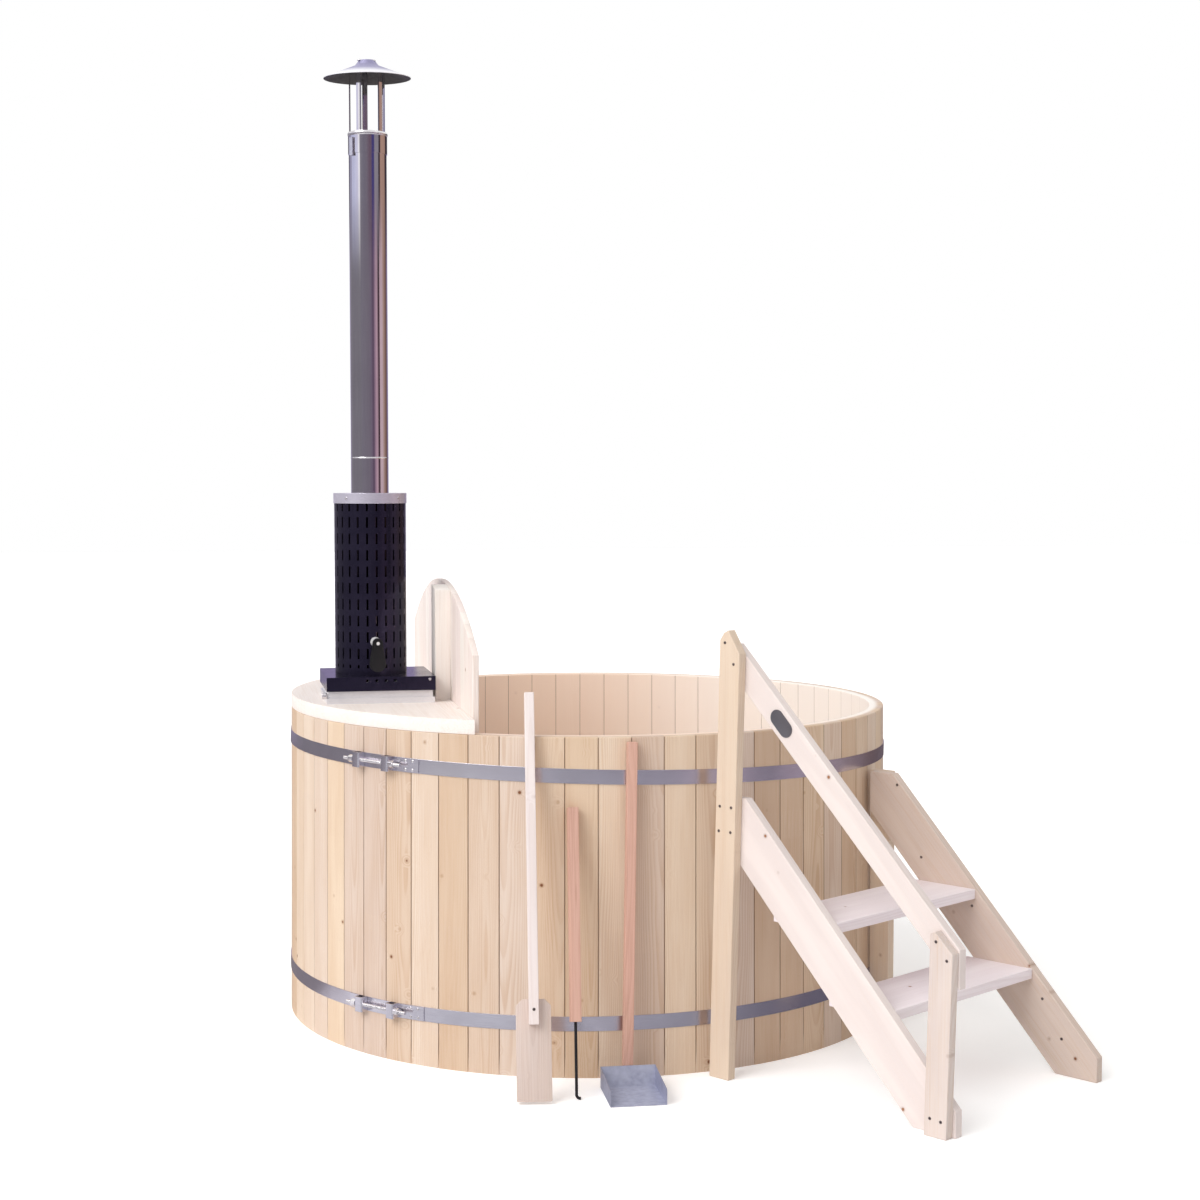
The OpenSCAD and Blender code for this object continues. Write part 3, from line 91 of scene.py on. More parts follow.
# kinds and settings that many shader nodes share
mathNode, vectorNode, mixNode = "ShaderNodeMath", "ShaderNodeVectorMath", "ShaderNodeMix"
rangeNode, noiseNode = "ShaderNodeMapRange", "ShaderNodeTexNoise"
times, plus, minus = {"operation": "MULTIPLY"}, {"operation": "ADD"}, {"operation": "SUBTRACT"}
timesPlus = {"operation": "MULTIPLY_ADD"}
blended = {"data_type": "RGBA"}
tinted = {"data_type": "RGBA", "blend_type": "MULTIPLY"}
soft = {"interpolation_type": "SMOOTHSTEP"}


def toLinear(code):
    parts = [int(code[i:i + 2], 16) / 255 for i in (1, 3, 5)]
    return tuple(c / 12.92 if c <= 0.04045 else ((c + 0.055) / 1.055) ** 2.4 for c in parts) + (1.0,)


# Adds a node. An input may be a value, a hex colour, a socket, or a node, whose first live output is taken.
def addNode(tree, kind, inputs=(), **settings):
    node = tree.nodes.new(kind)
    for key, value in settings.items():
        setattr(node, key, value)
    for key, value in dict(inputs).items():
        if isinstance(value, str) and value.startswith("#"):
            value = toLinear(value)
        if isinstance(value, bpy.types.Node):
            value = next(s for s in value.outputs if s.enabled)
        if isinstance(value, bpy.types.NodeSocket):
            tree.links.new(value, node.inputs[key])
        else:
            node.inputs[key].default_value = value
    return node


def newMaterial(name, sockets):
    material = bpy.data.materials.new(name)
    material.use_nodes = True
    tree = material.node_tree
    shader = tree.nodes["Principled BSDF"]
    for key, value in sockets.items():
        shader.inputs[key].default_value = value
    return material, tree, shader


# Wood. Planed softwood is matt, with growth rings, fine fibre and round knots. Each board has its own
# piece of the log, from the attributes grain (metres) and board (chance). The attribute joint darkens
# the faces between two staves.

# Fibre, patch and wander are sizes along the grain and across it. The fibre is drawn coarser than it is, so
# that it shows. The pairs of the knot are shares of its size.
woodPattern = {
    "fibre": (1000 / 5 * mm, 1000 / 260 * mm), "patch": (1000 / 2.2 * mm, 1000 / 18 * mm),
    "wander": (1000 / 1.3 * mm, 1000 / 6 * mm), "streakRange": (0.42, 0.75), "patchRange": (0.4, 0.7),
    "knotCore": (1.0, 0.62), "knotEdge": (1.8, 0.9), "knotPush": (4, 0.8), "pushShare": 1.3,
    "lateStart": (0.25, 0.88), "lateEnd": (0.9, 1.0), "heartNear": 20 * mm, "lateRough": 0.06,
    "innerDepth": (-10 * mm, -30 * mm), "relief": 0.25 * mm, "ringRelief": 0.35,
    "seedSpread": 917.0, "patchShift": (40, 40, 40),
}


def makeWood(name, start, **changes):
    look = dict(start, **changes)
    material, tree, shader = newMaterial(name, {"Specular IOR Level": 0.35})
    grain = addNode(tree, "ShaderNodeAttribute", attribute_name="grain").outputs["Vector"]
    board = addNode(tree, "ShaderNodeAttribute", attribute_name="board").outputs["Fac"]
    joint = addNode(tree, "ShaderNodeAttribute", attribute_name="joint").outputs["Fac"]
    along, across, through = addNode(tree, "ShaderNodeSeparateXYZ", {0: grain}).outputs
    seed = addNode(tree, mathNode, {0: board, 1: woodPattern["seedSpread"]}, **times)
    luck = addNode(tree, "ShaderNodeTexWhiteNoise", {"W": seed}, noise_dimensions="1D").outputs["Color"]
    chanceA, chanceB, chanceC = addNode(tree, "ShaderNodeSeparateXYZ", {0: luck}).outputs

    # knots: points of a cell pattern that lie near the board's own slice
    cell, size = look["knotCell"], look["knotSize"] / look["knotCell"]
    knotAt = addNode(tree, "ShaderNodeCombineXYZ", {
        0: addNode(tree, mathNode, {0: along, 1: 1 / cell}, **times),
        1: addNode(tree, mathNode, {0: across, 1: 1 / cell}, **times), 2: seed})
    away = addNode(tree, "ShaderNodeTexVoronoi", {"Vector": knotAt, "Scale": 1.0}).outputs["Distance"]
    knotRanges = {}
    for part, top in (("knotCore", 1.0), ("knotEdge", 1.0),
                      ("knotPush", look["knotSize"] * woodPattern["pushShare"])):
        start, end = woodPattern[part]
        knotRanges[part] = addNode(tree, rangeNode, {
            0: away, 1: size * start, 2: size * end, 3: 0.0, 4: top}, **soft)

    # growth rings: distance from the heart of the log, which lies behind the board
    longWay, crossWay = woodPattern["wander"]
    wanderAt = addNode(tree, "ShaderNodeCombineXYZ", {
        0: addNode(tree, mathNode, {0: along, 1: 1 / longWay}, **times),
        1: addNode(tree, mathNode, {0: across, 1: 1 / crossWay}, **times), 2: seed})
    wander = addNode(tree, noiseNode, {"Vector": wanderAt, "Scale": 1.0, "Detail": 2.0})
    heartSide = addNode(tree, rangeNode, {0: chanceA, 3: -look["heartSide"], 4: look["heartSide"]}, **soft)
    heartDepth = addNode(tree, rangeNode, {
        0: chanceB, 3: woodPattern["heartNear"], 4: look["heartDepth"]}, **soft)
    place = addNode(tree, "ShaderNodeCombineXYZ", {
        0: addNode(tree, mathNode, {0: across, 1: heartSide}, **minus),
        1: addNode(tree, mathNode, {0: through, 1: heartDepth}, **plus)})
    radius = addNode(tree, vectorNode, {0: place}, operation="LENGTH")
    radius = addNode(tree, mathNode, {0: wander, 1: look["wander"], 2: radius}, **timesPlus)
    radius = addNode(tree, mathNode, {0: radius, 1: knotRanges["knotPush"]}, **plus)
    ring = addNode(tree, mathNode, {0: radius, 1: 1 / look["ring"]}, **times)
    ring = addNode(tree, mathNode, {0: ring}, operation="FRACT")
    (riseFrom, riseTo), (fallFrom, fallTo) = woodPattern["lateStart"], woodPattern["lateEnd"]
    rise = addNode(tree, rangeNode, {0: ring, 1: riseFrom, 2: riseTo}, **soft)
    fall = addNode(tree, rangeNode, {0: ring, 1: fallFrom, 2: fallTo, 3: 1.0, 4: 0.0}, **soft)
    late = addNode(tree, mathNode, {0: rise, 1: fall}, **times)

    # fibre streaks and slow patches, shifted by chance from board to board
    longWay, crossWay = woodPattern["fibre"]
    streakAt = addNode(tree, vectorNode, {
        0: grain, 1: (1 / longWay, 1 / crossWay, 1 / crossWay)}, **times)
    streakAt = addNode(tree, vectorNode, {0: streakAt, 1: luck}, **plus)
    streak = addNode(tree, noiseNode, {"Vector": streakAt, "Scale": 1.0, "Detail": 3.0})
    longWay, crossWay = woodPattern["patch"]
    patchAt = addNode(tree, vectorNode, {
        0: grain, 1: (1 / longWay, 1 / crossWay, 1 / crossWay)}, **times)
    shift = addNode(tree, vectorNode, {0: luck, 1: woodPattern["patchShift"]}, **times)
    patchAt = addNode(tree, vectorNode, {0: patchAt, 1: shift}, **plus)
    patch = addNode(tree, noiseNode, {"Vector": patchAt, "Scale": 1.0, "Detail": 2.0})

    lateShare = addNode(tree, mathNode, {0: late, 1: look["ringShare"]}, **times)
    colour = addNode(tree, mixNode, {0: lateShare, 6: look["early"], 7: look["late"]}, **blended)
    for noise, key in ((streak, "streak"), (patch, "patch")):
        start, end = woodPattern[key + "Range"]
        share = addNode(tree, rangeNode, {0: noise, 1: start, 2: end, 3: 0.0, 4: look[key + "Share"]}, **soft)
        colour = addNode(tree, mixNode, {0: share, 6: colour, 7: look[key]}, **blended)

    # each board's own tint and value
    tint = addNode(tree, mixNode, {0: chanceC, 6: look["tintLow"], 7: look["tintHigh"]}, **blended)
    colour = addNode(tree, mixNode, {0: 1.0, 6: colour, 7: tint}, **tinted)
    share = addNode(tree, rangeNode, {0: chanceA, 3: 0.0, 4: look["valueShare"]}, **soft)
    colour = addNode(tree, mixNode, {0: share, 6: colour, 7: look["valueTint"]}, **tinted)
    halo = addNode(tree, mixNode, {0: look["knotHalo"], 6: (1, 1, 1, 1), 7: look["late"]}, **blended)
    colour = addNode(tree, mixNode, {0: knotRanges["knotEdge"], 6: colour, 7: halo}, **tinted)
    colour = addNode(tree, mixNode, {0: knotRanges["knotCore"], 6: colour, 7: look["knot"]}, **blended)

    # inner faces: warm where the tub shades them, pale where the light falls in
    objectX = addNode(tree, "ShaderNodeSeparateXYZ", {
        0: addNode(tree, "ShaderNodeTexCoord").outputs["Object"]}).outputs[0]
    start, end = look["innerTurn"]
    share = addNode(tree, rangeNode, {0: objectX, 1: start, 2: end}, **soft)
    inner = addNode(tree, mixNode, {0: share, 6: look["inner"], 7: look["innerPale"]}, **blended)
    start, end = woodPattern["innerDepth"]
    share = addNode(tree, rangeNode, {0: through, 1: start, 2: end, 3: 0.0, 4: look["innerShare"]}, **soft)
    colour = addNode(tree, mixNode, {0: share, 6: colour, 7: inner}, **blended)
    share = addNode(tree, rangeNode, {0: joint, 3: 0.0, 4: look["jointShare"]}, **soft)
    colour = addNode(tree, mixNode, {0: share, 6: colour, 7: look["joint"]}, **blended)
    tree.links.new(colour.outputs[2], shader.inputs["Base Color"])

    step = woodPattern["lateRough"]
    rough = addNode(tree, rangeNode, {0: late, 3: look["rough"] + step, 4: look["rough"] - step}, **soft)
    tree.links.new(rough.outputs[0], shader.inputs["Roughness"])
    height = addNode(tree, mathNode, {0: late, 1: woodPattern["ringRelief"], 2: streak}, **timesPlus)
    bump = addNode(tree, "ShaderNodeBump", {
        "Height": height, "Strength": look["bump"], "Distance": woodPattern["relief"]})
    tree.links.new(bump.outputs[0], shader.inputs["Normal"])
    return material


spruceLook = {
    "early": "#e1d5c8", "late": "#ccb197", "ringShare": 0.6, "ring": 3.2 * mm,
    "heartSide": 60 * mm, "heartDepth": 110 * mm, "wander": 26 * mm,
    "streak": "#d3bda5", "streakShare": 0.5, "patch": "#e8dfd4", "patchShare": 0.5,
    "tintLow": "#fff2e0", "tintHigh": "#f6f0f2", "valueShare": 0.9, "valueTint": "#ece3dc",
    "inner": "#ffe6d3", "innerPale": "#fffbf6", "innerTurn": (0.0, 1.0), "innerShare": 0.0,
    "joint": "#6a4d38", "jointShare": 0.9,
    "knot": "#7b4d32", "knotHalo": 0.5, "knotCell": 90 * mm, "knotSize": 5.5 * mm,
    "rough": 0.58, "bump": 0.35,
}
boardLook = dict(
    spruceLook, early="#e6e0df", late="#d5c9c3", ringShare=0.5, streak="#e4d8d2", streakShare=0.4,
    patch="#f7f1ee", tintLow="#fffdfb", tintHigh="#fbf2f2", valueShare=0.5, valueTint="#f4ede9",
    knot="#9a6a48")
# from honey to grey, stave by stave, with small red knots
spruceStaves = makeWood("planedSpruceStaves", spruceLook, innerShare=0.85)
# nearly white, with quiet grain
spruceBoards = makeWood("planedSpruceBoards", boardLook)
# the palest, bright in full light
spruceFence = makeWood(
    "planedSpruceFence", boardLook, early="#f6f3ef", late="#e2d4c8", streak="#dccbbb", patch="#fbf6f2")
# warm cream, as in the shade of the tub
spruceInside = makeWood("planedSpruceInside", spruceLook, early="#f6ebe0", late="#e6ccb2", valueShare=0.5)
# white with a cool cast
spruceTreads = makeWood(
    "planedSpruceTreads", boardLook, early="#f3eef4", late="#e1d7db", streak="#e6dcdf", patch="#fbf8fc")
# cream, a step darker than the boards
sprucePosts = makeWood("planedSprucePosts", spruceLook, early="#ded6cf", late="#d0bfb2", valueShare=0.4)
# greyish pink with close grain
beechPaddle = makeWood(
    "planedBeechPaddle", spruceLook, early="#dcd6d7", late="#c8bcbb", streak="#cbb9b2", patch="#e4dad6")
# salmon red with narrow rings
redHandle = makeWood(
    "planedRedHardwood", spruceLook, early="#d9baad", late="#bd9585", ringShare=0.5, ring=2.2 * mm,
    streak="#b68f7f", streakShare=0.5, patch="#e0c0b2", tintLow="#fff6f0", tintHigh="#f2dfdb",
    knot="#7c4a33", knotSize=2.5 * mm, valueTint="#efe0da")


# Metals, paint and plastic: colour noise, smudges in the roughness and a small bump

def makeFinish(name, start, **changes):
    look = dict(start, **changes)
    material, tree, shader = newMaterial(name, {"Metallic": look["metallic"], **look["sockets"]})
    place = addNode(tree, "ShaderNodeTexCoord").outputs["Object"]
    spread = addNode(tree, vectorNode, {0: place, 1: look["stretch"]}, **times)
    fine = addNode(tree, noiseNode, {"Vector": spread, "Scale": 1 / look["grain"], "Detail": 3.0})
    cloud = addNode(tree, noiseNode, {"Vector": place, "Scale": 1 / look["cloud"], "Detail": 2.0})
    (toneFrom, toneTo), (smudgeFrom, smudgeTo) = look["toneRange"], look["smudgeRange"]
    tone = addNode(tree, rangeNode, {0: fine, 1: toneFrom, 2: toneTo})
    colour = addNode(tree, mixNode, {0: tone, 6: look["base"], 7: look["other"]}, **blended)
    smudge = addNode(tree, rangeNode, {0: cloud, 1: smudgeFrom, 2: smudgeTo, 3: 0.0, 4: look["smudge"]})
    colour = addNode(tree, mixNode, {0: smudge, 6: colour, 7: look["soil"]}, **blended)
    # painted light below a height: painted shade on the pipe inside the shield, a painted highlight round the
    # cap's rim
    if "heated" in look:  # another colour below a height, fading in over paintedLightFade
        high = addNode(tree, "ShaderNodeSeparateXYZ", {0: place}).outputs[2]
        start = look["heatedTo"]
        heat = addNode(tree, rangeNode, {0: high, 1: start, 2: start - look["paintedLightFade"]})
        colour = addNode(tree, mixNode, {0: heat, 6: colour, 7: look["heated"]}, **blended)
    tree.links.new(colour.outputs[2], shader.inputs["Base Color"])
    rough = addNode(tree, mathNode, {0: fine, 1: look["roughSpread"], 2: look["rough"]}, **timesPlus)
    rough = addNode(tree, mathNode, {0: cloud, 1: look["roughSpread"], 2: rough}, **timesPlus)
    tree.links.new(rough.outputs[0], shader.inputs["Roughness"])
    bump = addNode(tree, "ShaderNodeBump", {
        "Height": fine, "Strength": look["bump"], "Distance": look["depth"]})
    tree.links.new(bump.outputs[0], shader.inputs["Normal"])
    return material


even = (1, 1, 1)  # a pattern that runs in no direction
steelLook = {
    "metallic": 1.0, "sockets": {}, "base": "#a9a3aa", "other": "#8f8a92", "soil": "#857c80", "smudge": 0.4,
    "stretch": (1, 1, 60), "grain": 40 * mm, "cloud": 90 * mm, "rough": 0.24, "roughSpread": 0.1,
    "bump": 0.12, "depth": 0.1 * mm, "paintedLightFade": 20 * mm, "toneRange": (0.3, 0.7), "smudgeRange": (0.35, 0.7),
}
smoothLook = dict(steelLook, stretch=even)
paintLook = dict(smoothLook, metallic=0.0, smudge=0.3)

# flat grey strip that blurs what it mirrors
bandSteel = makeFinish(
    "satinStainlessBand", steelLook, base="#e8e6ee", other="#dad7e0", soil="#cdc8d0", rough=0.14,
    bump=0.04)
# white glints on small turned and pressed parts
brightSteel = makeFinish(
    "brightStainless", smoothLook, metallic=0.85, base="#faf8fa", other="#e6e2e6", rough=0.08,
    grain=6 * mm)
# small brown-grey dots in the pale wood
screwSteel = makeFinish(
    "dullScrewSteel", smoothLook, base="#8a807c", other="#6d6461", rough=0.3, grain=2 * mm)
# a mirror with upright stripes of its surroundings
flueLook = dict(steelLook, base="#eeebef", other="#e6e2e8", soil="#d8d3da", rough=0.0, roughSpread=0.08,
                stretch=(1, 1, 0.06), grain=8 * mm, bump=0.04)
flueSteel = makeFinish("mirrorStainlessPipe", flueLook)
# the same pipe, with painted shade inside the shield, where the shield hides it
heatedSteel = makeFinish("heatTintedPipe", flueLook, heated="#4a4248", heatedTo=1.575)
# lilac grey ring, soft highlights
collarSteel = makeFinish(
    "satinCollarSteel", steelLook, metallic=0.6, base="#e8e3f0", other="#d6d1e0", soil="#c0bbc9",
    stretch=(1, 1, 8), grain=10 * mm)
# nearly white sheet with a dull sheen
satinAluminium = makeFinish(
    "satinAluminium", steelLook, metallic=0.5, base="#f1f0f2", other="#e4e3e6", soil="#d2d0d4", rough=0.3,
    stretch=(1, 1, 8), grain=10 * mm)
# lilac cone, with a painted highlight in white round its rim
capSteel = makeFinish(
    "paleStainlessCap", smoothLook, metallic=0.7, base="#a5a1c2", other="#9793b4", soil="#b6b3ce",
    rough=0.3, grain=25 * mm, heated="#fbfafd", heatedTo=2.822)
# mottled grey plate
stoveSheet = makeFinish(
    "weldedStoveSheet", smoothLook, base="#b9b8ba", other="#a3a2a5", rough=0.38, grain=20 * mm)
# matt dark grey
sootedSteel = makeFinish(
    "sootedSteel", smoothLook, metallic=0.3, base="#504f4f", other="#3e3d3d", soil="#5c5a5a", rough=0.5,
    grain=9 * mm)
# black with one small highlight
leverPaint = makeFinish(
    "glossBlackLever", paintLook, base="#050507", other="#0a090c", soil="#121015", rough=0.3,
    grain=2 * mm, bump=0.2)
# chalky white metal
castZinc = makeFinish(
    "paleCastZinc", smoothLook, metallic=0.25, base="#eeecec", other="#dcdada", soil="#c9c6c6",
    rough=0.35, grain=2 * mm, bump=0.3)
# blue-black coat that shines at low angles
blackPaint = makeFinish(
    "blackHeatPaint", paintLook, base="#14121d", other="#191722", soil="#211e2a", smudge=0.5, rough=0.12,
    grain=1.2 * mm, cloud=60 * mm, bump=0.2,
    sockets={"Specular Tint": toLinear("#bcb0ea"), "Specular IOR Level": 0.6})
# rough dark grey with a trace of rust
castIron = makeFinish(
    "castIron", smoothLook, metallic=0.6, base="#3c3a3b", other="#2c2a2b", soil="#4d3c33", smudge=0.5,
    rough=0.5, grain=2.5 * mm, bump=0.7, depth=0.5 * mm)
# cloudy blue-grey zinc
galvanised = makeFinish(
    "galvanisedSheet", smoothLook, metallic=0.6, base="#a7a9be", other="#9698ad", soil="#b4b6c8",
    smudge=0.6, rough=0.38, grain=14 * mm, cloud=30 * mm, bump=0.1)
# forged black with a dull shine
blackIron = makeFinish(
    "blackIronRod", smoothLook, metallic=0.4, base="#232226", other="#17161a", soil="#3d3532", smudge=0.3,
    rough=0.42, grain=3 * mm, bump=0.4, depth=0.2 * mm)
# grainy grey casting
castPlate = makeFinish(
    "darkCastPlate", smoothLook, metallic=0.7, base="#6d6b70", other="#54525a", soil="#8c8a90", rough=0.4,
    grain=2 * mm, bump=0.4, depth=0.2 * mm)
# plain mid grey
pipePlastic = makeFinish(
    "greyPipePlastic", smoothLook, metallic=0.0, base="#6f7175", other="#686a6e", soil="#7d7f83",
    rough=0.38, grain=4 * mm, bump=0.1)
# yellow metal, a little dull
brass = makeFinish(
    "brightBrass", smoothLook, base="#d3ad66", other="#bf9750", soil="#94733c", rough=0.2, grain=4 * mm)
# red coat that marks the drain's lever
redPaint = makeFinish(
    "redLeverPaint", paintLook, base="#a51d18", other="#951813", soil="#7c120f", rough=0.3, grain=2 * mm,
    bump=0.2)
# glossy black knob
bakelite = makeFinish(
    "blackBakelite", paintLook, base="#141317", other="#1c1a1f", soil="#2a282d", smudge=0.2, rough=0.2,
    grain=3 * mm, bump=0.05)
print("materials made:", len(bpy.data.materials))


# Shared mesh work

finishing = {"merge": 0.01 * mm, "flatAngle": 0.4, "bevelFrom": 30, "bevelSteps": 2}


def pieceName(source):
    return source.replace("_", " ").title().replace(" ", "")


def newObject(name, data):
    obj = bpy.data.objects.new(name, data)
    bpy.context.scene.collection.objects.link(obj)
    return obj


def meshOf(bm, name):
    mesh = bpy.data.meshes.new(name)
    bm.to_mesh(mesh)
    bm.free()
    return mesh


def shadeSmooth(mesh, sharpFrom):
    mesh.shade_smooth()
    mesh.set_sharp_from_angle(angle=math.radians(sharpFrom))


# The number of the loose part that each corner belongs to
def islandsOf(mesh):
    ends = np.empty(len(mesh.edges) * 2, np.int64)
    mesh.edges.foreach_get("vertices", ends)
    a, b = ends[0::2], ends[1::2]
    label = np.arange(len(mesh.vertices))
    while True:
        low = np.minimum(label[a], label[b])
        new = label.copy()
        np.minimum.at(new, a, low)
        np.minimum.at(new, b, low)
        new = new[new]
        if (new == label).all():
            return np.unique(label, return_inverse=True)[1]
        label = new


def coordsOf(mesh):
    co = np.empty(len(mesh.vertices) * 3, np.float32)
    mesh.vertices.foreach_get("co", co)
    return co.reshape(-1, 3).astype(float)


def storeOnPoints(mesh, name, values):
    flat = np.ravel(values).astype(np.float32)
    kind, field = ("FLOAT", "value") if len(flat) == len(mesh.vertices) else ("FLOAT_VECTOR", "vector")
    mesh.attributes.new(name, kind, "POINT").data.foreach_set(field, flat)


# Where the wood lies in its log, and one chance for each loose board
def setGrain(mesh, place, seed):
    storeOnPoints(mesh, "grain", place(coordsOf(mesh)))
    label = islandsOf(mesh)
    storeOnPoints(mesh, "board", np.random.default_rng(seed).random(label.max() + 1)[label])


# u runs along the board, and w through its thickness
def boardAxes(u, w):
    u, w = Vector(u).normalized(), Vector(w).normalized()
    turn = np.array([u, w.cross(u), w])
    return lambda co: co @ turn.T


# the same for a piece that lies askew, whose longest way is the grain's
def ownAxes(co):
    centre = co.mean(0)
    turn = np.linalg.svd(co - centre, full_matrices=False)[2]
    return (co - centre) @ turn.T


def mergedCopy(source):
    bm = bmesh.new()
    bm.from_mesh(nodes[source].data)
    bmesh.ops.remove_doubles(bm, verts=bm.verts, dist=finishing["merge"])
    return bm


def placePiece(name, mesh, source, material, slotName):
    mesh.materials.clear()
    mesh.materials.append(material)
    obj = newObject(name, mesh)
    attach(obj, nodes[source]["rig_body"])
    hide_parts(source)


# A node's solid with whole faces, rounded edges, and either smooth shading or the wood's grain
def remade(source, material, slotName, edge=0.0, smooth=None, place=None, seed=1, work=None):
    bm = mergedCopy(source)
    bmesh.ops.dissolve_limit(bm, angle_limit=math.radians(finishing["flatAngle"]),
                             verts=bm.verts, edges=bm.edges)
    if work:
        work(bm)
    if edge:
        corner = math.radians(finishing["bevelFrom"])
        sharp = [e for e in bm.edges if len(e.link_faces) == 2 and e.calc_face_angle(0) > corner]
        bmesh.ops.bevel(bm, geom=sharp, offset=edge, offset_type="OFFSET", segments=finishing["bevelSteps"],
                        profile=0.5, affect="EDGES", clamp_overlap=True)
    mesh = meshOf(bm, pieceName(source))
    if smooth:
        shadeSmooth(mesh, smooth)
    if place:
        setGrain(mesh, place, seed)
    placePiece(pieceName(source), mesh, source, material, slotName)


# A row of outlines with faces between them, closed to a ring or capped at both ends
def skinned(rings, closed=False):
    bm = bmesh.new()
    verts = [[bm.verts.new(p) for p in ring] for ring in rings]
    count = len(rings[0])
    for low, high in list(zip(verts, verts[1:])) + ([(verts[-1], verts[0])] if closed else []):
        for i in range(count):
            j = (i + 1) % count
            bm.faces.new((low[i], low[j], high[j], high[i]))
    if not closed:
        bm.faces.new(list(reversed(verts[0])))
        bm.faces.new(verts[-1])
    return bm


def newTree(name, sockets):
    tree = bpy.data.node_groups.new(name, "GeometryNodeTree")
    tree.interface.new_socket("Geometry", in_out="INPUT", socket_type="NodeSocketGeometry")
    for label, kind in sockets:
        tree.interface.new_socket(label, in_out="INPUT", socket_type=kind)
    tree.interface.new_socket("Geometry", in_out="OUTPUT", socket_type="NodeSocketGeometry")
    return tree, tree.nodes.new("NodeGroupInput"), tree.nodes.new("NodeGroupOutput")


def endTree(tree, made, material, result):
    real = addNode(tree, "GeometryNodeRealizeInstances", {0: made})
    painted = addNode(tree, "GeometryNodeSetMaterial", {"Geometry": real, "Material": material})
    tree.links.new(painted.outputs[0], result.inputs[0])


# What the tree makes of a mesh, as a plain mesh
def plainMesh(name, tree, source, values):
    holder = newObject(name + "Source", source)
    modifier = holder.modifiers.new("Tree", "NODES")
    modifier.node_group = tree
    for item in tree.interface.items_tree:
        if item.item_type == "SOCKET" and item.in_out == "INPUT" and item.name in values:
            modifier[item.identifier] = values[item.name]
    graph = bpy.context.evaluated_depsgraph_get()
    mesh = bpy.data.meshes.new_from_object(holder.evaluated_get(graph), preserve_all_data_layers=True,
                                           depsgraph=graph)
    holder.modifiers.clear()
    bpy.data.objects.remove(holder)
    mesh.name = name
    return mesh


# Boards and sticks. The benches and the stairs stand askew, by angles in degrees.

askew = {"frontBench": -60, "rearBench": 60, "stairs": -56.1, "stringers": 45.7, "handrail": 44.6}
roundedEdges = {"tub": 1.6 * mm, "fence": 3 * mm, "stairs": 2.2 * mm, "tools": 1.8 * mm}
angles = {key: math.radians(turn) for key, turn in askew.items()}
outward = Vector((math.cos(angles["stairs"]), math.sin(angles["stairs"]), 0))
sideways = Vector((-math.sin(angles["stairs"]), math.cos(angles["stairs"]), 0))
down = outward * math.cos(angles["stringers"]) - upward * math.sin(angles["stringers"])
railDown = outward * math.cos(angles["handrail"]) - upward * math.sin(angles["handrail"])
flatX, flatY = boardAxes((1, 0, 0), upward), boardAxes((0, 1, 0), upward)
uprightX, uprightStair = boardAxes(upward, (1, 0, 0)), boardAxes(upward, sideways)
frontBench, rearBench = (boardAxes((-math.sin(angles[key]), math.cos(angles[key]), 0), upward)
                         for key in ("frontBench", "rearBench"))
for source, place, material, slotName, edge, seed in [
    ("floor_boards", flatX, spruceInside, "inner_wood", "tub", 11),
    ("floor_bearers", flatY, spruceInside, "inner_wood", "tub", 12),
    ("bench_supports", uprightX, spruceInside, "inner_wood", "tub", 13),
    ("deck_boards", flatY, spruceFence, "board_wood", "tub", 14),
    ("deck_battens", flatX, spruceBoards, "board_wood", "tub", 15),
    ("fence_boards", uprightX, spruceFence, "board_wood", "fence", 16),
    ("fence_posts", uprightX, spruceFence, "board_wood", "tub", 17),
    ("fence_rails", boardAxes((0, 1, 0), (1, 0, 0)), spruceBoards, "board_wood", "tub", 18),
    ("front_bench", frontBench, spruceInside, "inner_wood", "tub", 21),
    ("side_bench", flatY, spruceInside, "inner_wood", "tub", 22),
    ("rear_bench", rearBench, spruceInside, "inner_wood", "tub", 23),
    ("near_stringer", boardAxes(down, sideways), spruceBoards, "board_wood", "stairs", 31),
    ("far_stringer", boardAxes(down, sideways), sprucePosts, "board_wood", "stairs", 32),
    ("tall_post", uprightStair, sprucePosts, "board_wood", "stairs", 33),
    ("short_post", uprightStair, sprucePosts, "board_wood", "stairs", 34),
    ("rear_post", uprightStair, sprucePosts, "board_wood", "stairs", 35),
    ("upper_tread", boardAxes(sideways, upward), spruceTreads, "board_wood", "stairs", 36),
    ("lower_tread", boardAxes(sideways, upward), spruceTreads, "board_wood", "stairs", 37),
    ("handrail", boardAxes(railDown, sideways), spruceBoards, "board_wood", "stairs", 38),
    ("paddle_blade", ownAxes, beechPaddle, "board_wood", "tools", 41),
    ("paddle_handle", ownAxes, spruceBoards, "board_wood", "tools", 42),
    ("poker_handle", ownAxes, redHandle, "handle_wood", "tools", 43),
    ("shovel_handle", ownAxes, redHandle, "handle_wood", "tools", 44),
]:
    remade(source, material, slotName, edge=roundedEdges[edge], place=place, seed=seed)
print("boards made")


# Staves: a node tree repeats one blank round the tub, and gives the drilled one its place

stave = {
    "count": 64, "turn": math.radians(2.1), "radius": 0.920, "flare": 8 * mm, "height": 0.930,
    "thick": 42 * mm, "gap": 0.3 * mm, "outerBevel": 1.9 * mm, "innerBevel": 1.0 * mm,
    "rimBevel": 3 * mm, "rimBow": 0.35, "grooveLow": 59.8 * mm, "grooveTop": 102.2 * mm,
    "grooveDepth": 12 * mm, "midLevels": (0.4, 0.7), "outerSteps": 6, "innerSteps": 4,
    "drilled": 29, "holeRadius": 16.2 * mm, "holeHeight": 30 * mm, "holeSides": 48,
    "drillLength": 200 * mm, "drillAt": 0.9, "jointLow": 1 * mm, "seed": 5,
}
half = math.pi / stave["count"] - stave["gap"] / 2 / stave["radius"]


